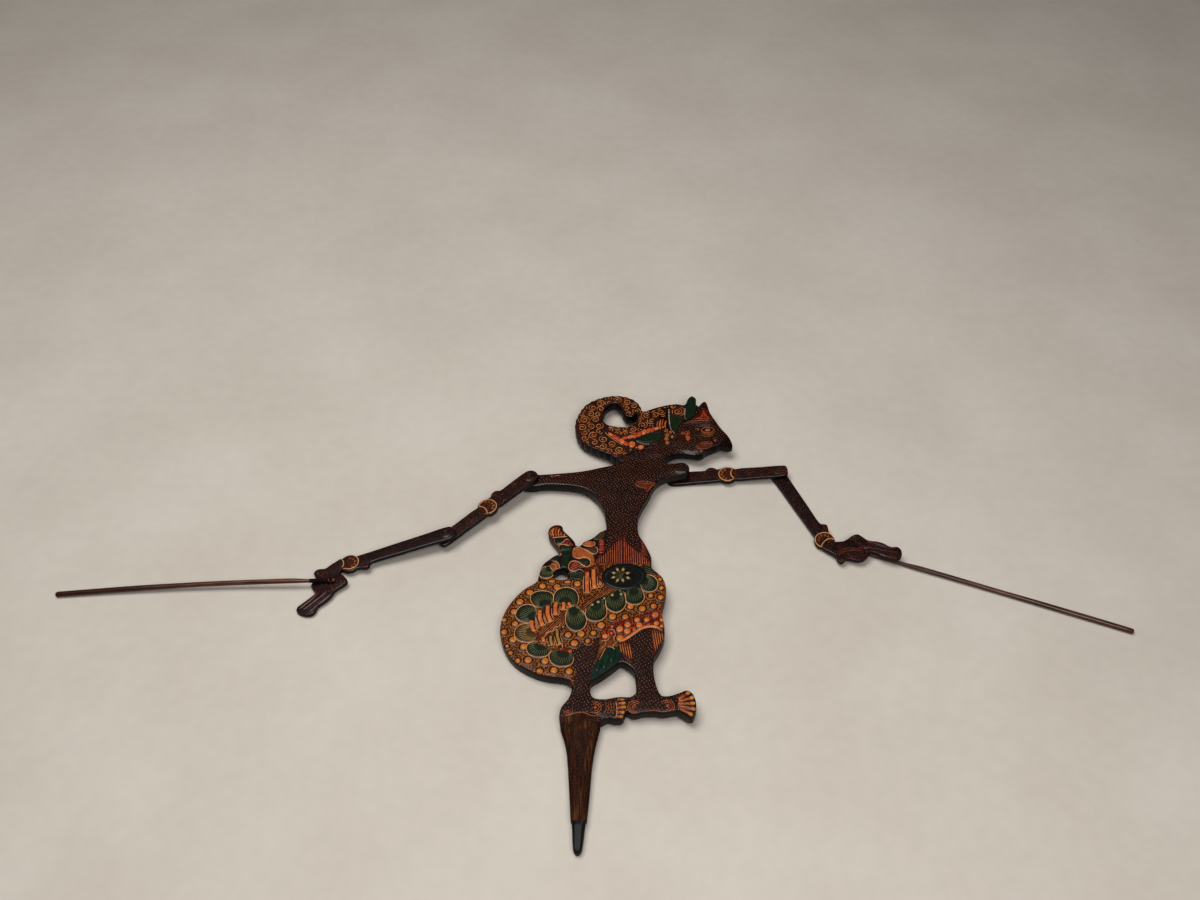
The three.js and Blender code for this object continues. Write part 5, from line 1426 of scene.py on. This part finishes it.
def carve_body():
    """The chest's ornament and the feet."""
    c = Carving("figure", rim=board_rim)
    t = BOARD_THICKNESS
    chest = [(55.5, 391.5), (59, 394.6), (66, 394.8), (72, 393.2), (76.5, 391.5), (72.5, 388), (70.5, 384.5),
        (67.8, 380.8), (66.3, 385), (61, 386.8)]
    patch(c, "umber", chest, t, 0.4)
    c["ochre"].ridge(chest, 0.6, 0.6, t, closed=True)
    c.lines("ochre", 0.6, 0.3, t + 0.4, [(58, 391.5), (64, 391), (68.5, 386)], [(66, 393.5), (69.5, 389)])
    c["ochre"].spiral(-31, 405, 2, t, 1.4, 0, 1, 0.9, 0.5)
    c["ochre"].ridge([(-29, 404.2), (-25, 405.4), (-21.5, 404.6)], 1.1, 0.5, t)
    c["umber"].bead(109, 415.3, 1.6, 0.5, t, 0.9, 10)
    # feet: curls, strokes across the instep and toes
    f = LEG_TOP
    arcs(c, "ochre", -9, 128.3, (2, 4), f, 150, 250, 0.8)
    arcs(c, "ochre", 15, 131.3, (3.4, 5.4), f, 240, 250, 0.9)
    arcs(c, "ochre", 50, 131, (2.2, 4.2, 6.2), f, 20, 270, 0.85)
    arcs(c, "ochre", 79, 131, (2.2, 4.2, 6.2), f, 250, 260, 0.85)
    for x, y, r in ((15, 131.3, 1.6), (79, 131.3, 1.2), (50, 131.2, 1.1), (-9, 128.5, 0.9)):
        c["fold"].bead(x, y, r, 0.6, f)
    for x in (24, 26.3, 28.6, 30.9):
        c["ochre"].ridge([(x - 1, 124), (x + 0.8, 131), (x, 137)], 0.7, 0.35, f, sides=2)
    c["piping"].ridge([(33.2, 120.5), (34.4, 128), (33.3, 137.5)], 0.8, 0.6, f)
    for points, width in TOES:
        c["black"].ridge(points, width + 1.3, 0.5, f, taper=0.3)
        c["fold"].ridge(points, width * 0.75, 1.2, f, taper=0.6)
        tip, back = Vector(points[2]), Vector(points[1])
        way = (tip - back).normalized()
        turn = math.degrees(math.atan2(way.y, way.x))
        at = tip - way * 0.3
        c["bead"].bead(at.x, at.y, min(2.7, width * 0.75), 1.5, f, width * 0.46, turn)
        nail = tip + way * 1.0
        c["straw"].bead(nail.x, nail.y, 1.1, 0.5, f + 1.0, width * 0.27, turn)
    c.lines("ochre", 0.7, 0.4, f, [(-10, 123.2), (-3, 125.9), (5, 126.2), (11, 123.4), (18, 122.6)],
        [(44.6, 131), (46.5, 126), (52, 125.3), (65, 127.2), (75, 126), (82, 127), (84.6, 131)],
        [(87, 139), (91, 141.5), (94, 143.5)])
    c.make()


# ---- arms and rods, each in its own flat frame

# The upper arm's tab is on the picture's upper side, and this outline has that side as +y
UPPER_ARM = [*arc(-1.6, 0, 8.1, 270, 90), (20, 8), (32.5, 8), (34.3, 9.8), (37, 11.2), (40, 11.2), (42.8, 10),
    (45, 8.4), *arc(55, 0, 10.7, 122, 40, 5), (70, 7.2), (90, 6.7), (112, 6.5), (116.4, 5.8), (118, 3.4), (118, -4.2),
    (116.8, -6.8), (113, -8), (90, -8), (66, -8), *arc(55, 0, 10.7, -46, -134, 5), (40, -8), (20, -8)]
FOREARM = [*arc(-2.2, 0, 7.8, 270, 90), (20, 7.3), (49, 6.9), (76, 6.5), (78.7, 7.4), (80, 10), (82, 11.8),
    (85.6, 11.2), (89.3, 9.6), *arc(98, 0, 10.3, 120, -140, 11), (84, -6.3), (49, -6.9), (20, -7.3)]
# A hand's points are measured from the middle of its bracelet
HANDS = {
    "left": [(0, -6), (7, -8.7), (12, -7.3), (18, -5.2), (23.5, -2.8), (29.8, -4.3), (33.5, -3.8), (35.6, -0.8),
        (35.2, 3.1), (33.6, 5.6), (38.3, 9.3), (40.5, 12.5), (40, 17.5), (37.2, 22.2), (42, 25.8), (53, 31),
        (57.5, 33.6), (58.8, 37.5), (56.2, 42), (51, 45.6), (45.5, 46.6), (42, 44.5), (38.5, 39.8), (30, 36),
        (24, 32), (19.3, 27.4), (11.5, 24.4), (7.2, 22.2), (5.9, 19.8), (8, 13.6), (11, 8), (8, 4.5)],
    "right": [(0, -6), (7.8, -6.8), (13.3, -4.3), (18, -1.6), (21, 0.3), (27.5, -1), (31, 0.3), (31.7, 3), (30, 6.6),
        (31.5, 10.4), (35, 14), (37.4, 18.4), (37.8, 23), (35.7, 28.3), (33, 32.8), (36, 37.3), (41.2, 40),
        (46, 44.3), (50, 48.8), (51.6, 53.2), (49.8, 57.5), (46, 60.4), (42, 61.3), (38.4, 60), (35.8, 54.3),
        (28.9, 50.2), (24.3, 45.9), (19, 38.4), (11.3, 35.2), (7.8, 33), (7.1, 28), (8.6, 21.9), (9.3, 16.4), (7, 9)],
}
# The raised part of each link's tab
TAB = [(35.4, 7.5), (36.2, 9.6), (38.5, 10.5), (41, 9.8), (43.4, 8), (41, 7)]
FOREARM_TAB = [(79.9, 7), (81, 9.6), (82.6, 10.8), (85.4, 10.2), (88, 8.4), (84, 6.6)]
TAB_HEIGHT = 0.25
PALM_HOLE = {"left": (20.5, 16.5), "right": (21, 24.2)}
BRACELETS = {
    "left": ([(-5, -8), (-8.2, -4.5), (-8.9, 0.3), (-6.4, 5.6), (0.5, 7.4), (7.4, 4)],
        [(6.6, -8.2), (5.4, -3.6), (6, -0.2), (7.9, 2.6)]),
    "right": ([(7.2, -7.2), (2.4, -9.4), (-3, -8.9), (-8.2, -4), (-7.9, 4.6), (-3.1, 9), (3.1, 9.1)],
        [(7.4, -7.7), (3.7, -4.5), (0.9, 2.2), (1.4, 6.2), (4.1, 8.7)]),
}
# Long ridges of the fingers, then the dark lines between them
FINGERS = {
    "left": ([[(26, 24.2), (35, 29.5), (44, 34), (52.5, 38.3)], [(22.3, 28.6), (31, 33.8), (40, 38.4), (47.5, 43.4)],
        [(34, 21.8), (42, 28.4), (50, 32.6), (56, 35.8)]], [[(29, 21), (38, 27), (47, 31.5), (54, 36)],
        [(24, 27), (33, 32.5), (42, 37), (50, 41)]]),
    "right": ([[(30, 28.5), (35.6, 37), (42.5, 44.2), (48.6, 52)], [(24.2, 31.2), (31, 40), (38, 48.2), (44.2, 56.3)],
        [(19.6, 36), (25.6, 43.6), (32.6, 50), (39.4, 57.5)]],
        [[(27, 28), (33, 37), (40, 46), (46, 54)], [(21.5, 34), (28, 42), (35, 49), (42, 56)]]),
}


def from_bracelet(points):
    """A hand's points in its forearm's frame."""
    return [(x + FOREARM_LENGTH, y) for x, y in points]


def arm_bore(x, y, radius, head=None):
    """A cutter for a pin's or tie's hole, with a recess for a head above or below."""
    low, high = -1, ARM_THICKNESS + 1
    profile = [(radius, low), (radius, high)]
    if head == "above":
        recess = ARM_THICKNESS - ARM_RECESS
        profile = [(radius, low), (radius, recess), (HEAD_BORE, recess), (HEAD_BORE, high)]
    if head == "below":
        profile = [(HEAD_BORE, low), (HEAD_BORE, ARM_RECESS), (radius, ARM_RECESS), (radius, high)]
    return solid_from("bore", [[(x + u, y + v, z) for u, v, z in ring] for ring in turned(profile)])


def collar(relief, x, y):
    """The face rises gently round a pin."""
    profile = [(r, ARM_FACE + up) for r, up in ((5.7, -0.05), (5.1, 0.12), (4.2, 0.32), (3.2, 0.5))]
    profile += [(HEAD_BORE, ARM_THICKNESS - 0.15), (HEAD_BORE, ARM_THICKNESS - ARM_RECESS)]
    relief.skin([[(p.x, p.y, z) for p in oval(x, y, r, count=28)] for r, z in profile], cap=False)


def crescent(c, outer, inner, x, y, radius):
    """A round band with a golden crescent, whose floor has small scrolls."""
    top = ARM_FACE + 0.3
    c["band"].pad(oval(x, y, radius, count=22), 0.3, ARM_FACE, 0.9)
    c.lines("piping", 1.05, 0.42, top, outer, inner, taper=0.5)
    for a in (112, 148, 184, 220, 252):
        turn = math.radians(a)
        at = x + radius * 0.58 * math.cos(turn), y + radius * 0.58 * math.sin(turn)
        c["curl" if a < 190 else "ochre"].spiral(*at, 1.5, top, 1.2, a, 1, 0.6, 0.25)


def make_upper_arm(side):
    """A link with its tab, its banded disc and a pin's hole at each end."""
    body, place = f"upper_arm_{side}", upper_place[side]
    up = -1 if side == "left" else 1
    heads = ("above", "below") if side == "left" else ("below", "above")
    bar = plank(f"{body}_skin", [[(x, y * up) for x, y in UPPER_ARM]], 0, ARM_FACE, ARM_EDGE)
    for x, head in zip((0, UPPER_ARM_LENGTH), heads):
        bar = combine(bar, arm_bore(x, 0, PIN_BORE, head), "DIFFERENCE")
    finish_skin(bar, "arm", place, body, "side", "edge")
    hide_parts(body)
    c = Carving(body, place=place, body=body, slot="painted_arm")
    for x in (0, UPPER_ARM_LENGTH):
        collar(c["arm"], x, 0)
    crescent(c, arc(55, 0, 9, 46, 314, 15), arc(67.36, 0, 8.9, 133.4, 226.6, 7), 55, 0, 10)
    c["rust"].pad([(x, y * up) for x, y in TAB], TAB_HEIGHT, ARM_FACE)
    # A thin pale line along the link's lower rounded edge: partly wear, partly a painted highlight
    worn_edge_highlight = {"left": [(8, 6.9), (20, 7.1), (30, 7)], "right": [(63, -6.6), (72, -6.9), (90, -7), (104, -7)]}
    c["piping"].ridge(worn_edge_highlight[side], 0.35, 0.1, ARM_FACE - 0.12)
    c.make()


def make_forearm(side):
    """A link with its tab and bracelet, and the carved hand that goes on from it."""
    body, place = f"forearm_{side}", fore_place[side]
    bar = plank(f"{body}_skin", [FOREARM], 0, ARM_FACE, ARM_EDGE)
    bar = combine(bar, arm_bore(0, 0, PIN_BORE, "above" if side == "left" else "below"), "DIFFERENCE")
    finish_skin(bar, "forearm", place, body, "side", "edge")
    outline = from_bracelet(HANDS[side])
    hand = plank(f"hand_{side}", [outline], 0.04, HAND_FACE, ARM_EDGE)
    hand = combine(hand, arm_bore(*from_bracelet([PALM_HOLE[side]])[0], TIE_BORE), "DIFFERENCE")
    finish_skin(hand, "palm", place, body, "side", "finger")
    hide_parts(body)
    c = Carving(body, place=place, body=body, slot="painted_arm", rim=Rim([outline], ARM_EDGE))
    wrist = Carving(f"wrist_{side}", place=place, body=body, slot="painted_arm")
    collar(wrist["forearm"], 0, 0)
    outer, inner = (from_bracelet(line) for line in BRACELETS[side])
    crescent(wrist, outer, inner, FOREARM_LENGTH, 0, 9.4)
    wrist["rust"].pad(FOREARM_TAB, TAB_HEIGHT, ARM_FACE)
    z = HAND_FACE
    ridges, lines = FINGERS[side]
    for ridge in ridges:
        c["finger"].ridge(from_bracelet(ridge), 3.3, 0.2, z, taper=0.7)
        c["palm"].ridge(from_bracelet([(u + 0.5, v + 0.5) for u, v in ridge]), 1.2, 0.26, z, taper=0.8)
    for line in lines:
        c["black"].ridge(from_bracelet(line), 0.8, 0.12, z)
    c["finger"].ridge(outline[4:], 2.2, 0.2, z - SUNK)
    if side == "right":
        thumb = [(24.1, 2.1), (19.9, 5.9), (21.4, 16.4), (25.1, 24.1), (24.8, 30.6), (29.7, 31.9)]
        c["finger"].ridge(from_bracelet(thumb), 3.4, 0.34, z)
        c["brown"].ridge(from_bracelet([(u - 1.6, v + 0.4) for u, v in thumb]), 0.5, 0.3, z)
        c["brown"].ridge(from_bracelet([(u + 1.7, v - 0.3) for u, v in thumb[:-1]]), 0.5, 0.3, z)
        c["umber"].bead(*from_bracelet([(29.6, 2.8)])[0], 1.7, 0.34, z)
        knuckles = [arc(24, 17 + k * 0.5, 5.5 + 2.2 * k, -48, 48, 6) for k in range(4)]
        heel = 24
    else:
        c["finger"].ridge(from_bracelet([(24.5, -1), (27.4, 5), (24.8, 12), (26.4, 19)]), 3.0, 0.32, z)
        c["brown"].ridge(from_bracelet([(25.6, -1.4), (28.6, 5.7), (26.2, 12), (28, 19)]), 0.5, 0.3, z)
        c["finger"].bead(*from_bracelet([(32, -0.4)])[0], 2.2, 0.34, z)
        c["umber"].spiral(*from_bracelet([(21.3, 25.2)])[0], 2.0, z, 1.4, 40, 1, 0.8, 0.3)
        knuckles = [arc(25, 13, 6 + 2.4 * k, -40, 42, 6) for k in range(3)]
        heel = 15
    for line in knuckles + [arc(14, heel, 3 + 1.9 * k, 110, 200, 5) for k in range(3)]:
        c["finger"].ridge(from_bracelet(line), 0.7, 0.22, z, sides=2)
    c.make()
    wrist.make()


# How far each rod bows to the side of its straight line, and how far from its hole it is clear of the hand
ROD_BOW = {"left": -3.2, "right": 0.8}
ROD_CLEAR, ROD_SWELL_LENGTH, ROD_BODY_RADIUS = {"left": 23, "right": 48}, 16, 2.45
ROD_GRIP_AT = 0.85                  # of the length, where the rod is thickest
WRAP_START, WRAP_END, WRAP_PITCH = 2.6, 21.0, 0.75


def eased(value):
    """0 to 1 with a gentle start and stop."""
    t = min(max(value, 0), 1)
    return t * t * (3 - 2 * t)


def rod_middle(side, x):
    """How far the rod's middle is to the side of its straight line."""
    return ROD_BOW[side] * math.sin(math.pi * min(max(x / (ROD_LENGTH - ROD_INNER_END), 0), 1))


def rod_radius(x):
    """The tapered solid's radius."""
    return ROD_HAND_RADIUS + (ROD_GRIP_RADIUS - ROD_HAND_RADIUS) * eased(x / ROD_LENGTH / ROD_GRIP_AT)


def rod_swell(side, x):
    """Clear of its hand a rod is a little stouter than the tapered solid, towards its upper side."""
    return eased((x - ROD_CLEAR[side]) / ROD_SWELL_LENGTH) * max(0, ROD_BODY_RADIUS - rod_radius(x))


def whittled(a, x, phases):
    """The knife's long flats round a rod, which wind slowly along it."""
    broad, narrow = (1 + math.sin(3 * a + x / 23 + phases[0])) * 0.5, (1 + math.sin(5 * a - x / 11 + phases[1])) * 0.5
    return 1.03 - 0.035 * broad - 0.02 * narrow


def make_rod(side):
    """A whittled rod with its thread's cross hole."""
    end = ROD_LENGTH - ROD_INNER_END
    stations = [(-ROD_INNER_END, 0.62), (0.3 - ROD_INNER_END, 0.86), (0.9 - ROD_INNER_END, 1)]
    stations += [(x, 1) for x in range(0, int(end) - 2, 6)]
    stations += [(end - 1.6, 1), (end - 0.6, 0.9), (end, 0.66)]
    phases = [dice.uniform(0, 6.28) for _ in range(3)]      # the third is not used, and only moves the dice on for the later draws
    rings = []
    for x, share in stations:
        swell = rod_swell(side, x)
        r = (rod_radius(x) + swell) * share
        ring = []
        for i in range(20):
            a = 2 * math.pi * i / 20
            cut = r * whittled(a, x, phases)
            ring.append((x, rod_middle(side, x) + cut * math.cos(a), swell + cut * math.sin(a)))
        rings.append(ring)
    body = f"rod_{side}"
    hole = solid_from("thread_hole", turned([(THREAD_BORE, -5), (THREAD_BORE, 5)], 16))
    rod = combine(solid_from(f"{body}_skin", rings), hole, "DIFFERENCE")
    finish_skin(rod, body, rod_place[side], body)
    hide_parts(body)
    if side == "left":
        wrap_thread(side, body)


def wrap_thread(side, body):
    """The thread's turns round the rod beside the hand."""
    wrap = Relief(f"{side}_rod_wrap", "thread", rod_place[side], body, "thread")
    rings = []
    count = int((WRAP_END - WRAP_START) / (WRAP_PITCH / 5))
    for k in range(count + 1):
        x = WRAP_START + (WRAP_END - WRAP_START) * k / count
        ends = min(1, 0.25 + k / 8, 0.25 + (count - k) / 8)
        ring = []
        for i in range(18):
            a = 2 * math.pi * i / 18
            r = rod_radius(x) + (0.16 + 0.2 * abs(math.sin(math.pi * x / WRAP_PITCH + a / 2))) * ends
            ring.append((x, rod_middle(side, x) - r * math.cos(a), r * math.sin(a)))
        rings.append(ring)
    wrap.skin(rings, cap=False)
    wrap.make()


# ---- camera, floor and light

def make_camera():
    """A camera at the photograph's height, place and tilt."""
    data = bpy.data.cameras.new("camera")
    data.lens, data.sensor_width = LENS, SENSOR
    data.clip_start = 0.01
    camera = new_object("camera", data)
    tip = board_place.translation
    camera.location = (tip.x + CAMERA_FROM_TIP.x, tip.y + CAMERA_FROM_TIP.y, CAMERA_HEIGHT)
    camera.rotation_euler = (math.pi / 2 - CAMERA_DOWN, 0, 0)
    bpy.context.scene.camera = camera


def make_floor():
    """A plain pale floor."""
    mesh = bpy.data.meshes.new("floor")
    mesh.from_pydata([(x, y, 0) for x, y in ((-4, -4), (4, -4), (4, 4), (-4, 4))], [], [(0, 1, 2, 3)])
    p = Paint("floor", shade(205, 196, 184), 0.6, 0.0)
    p.coat(p.noise(160, 2), shade(199, 189, 177))
    mesh.materials.append(p.done(0.1))
    floor = new_object("floor", mesh)


def area_light(name, place, size, power):
    """A square lamp that faces the puppet."""
    data = bpy.data.lights.new(name, "AREA")
    data.size, data.energy = size, power
    lamp = new_object(name, data)
    lamp.location = place
    lamp.rotation_euler = (-Vector(place)).to_track_quat("-Z", "Y").to_euler()


def make_lights():
    """A broad lamp above, a weaker one in front, and a faint glow all round."""
    area_light("key", (-0.45, 0.15, 1.9), 1.1, 28)
    area_light("front", (0.35, -0.85, 1.25), 0.7, 10)
    world = bpy.data.worlds.new("room")
    bpy.context.scene.world = world
    world.use_nodes = True
    background = world.node_tree.nodes["Background"]
    background.inputs["Color"].default_value = (0.95, 0.96, 1, 1)
    background.inputs["Strength"].default_value = 0.07


def dress_nodes():
    """The pins and ties stay as the frame has them, and get their paints."""
    for name, node in frame["nodes"].items():
        if "pin" in name or "tie" in name:
            node.data.materials.clear()
            node.data.materials.append(paints["thread" if "tie" in name else "pin"])


make_camera()
make_floor()
make_lights()
dress_nodes()
make_board()
carve_skirt()
carve_bustle()
carve_head()
carve_body()
for side in LEANS:
    make_upper_arm(side)
    make_forearm(side)
    make_rod(side)
bpy.context.scene.view_settings.view_transform = "Standard"
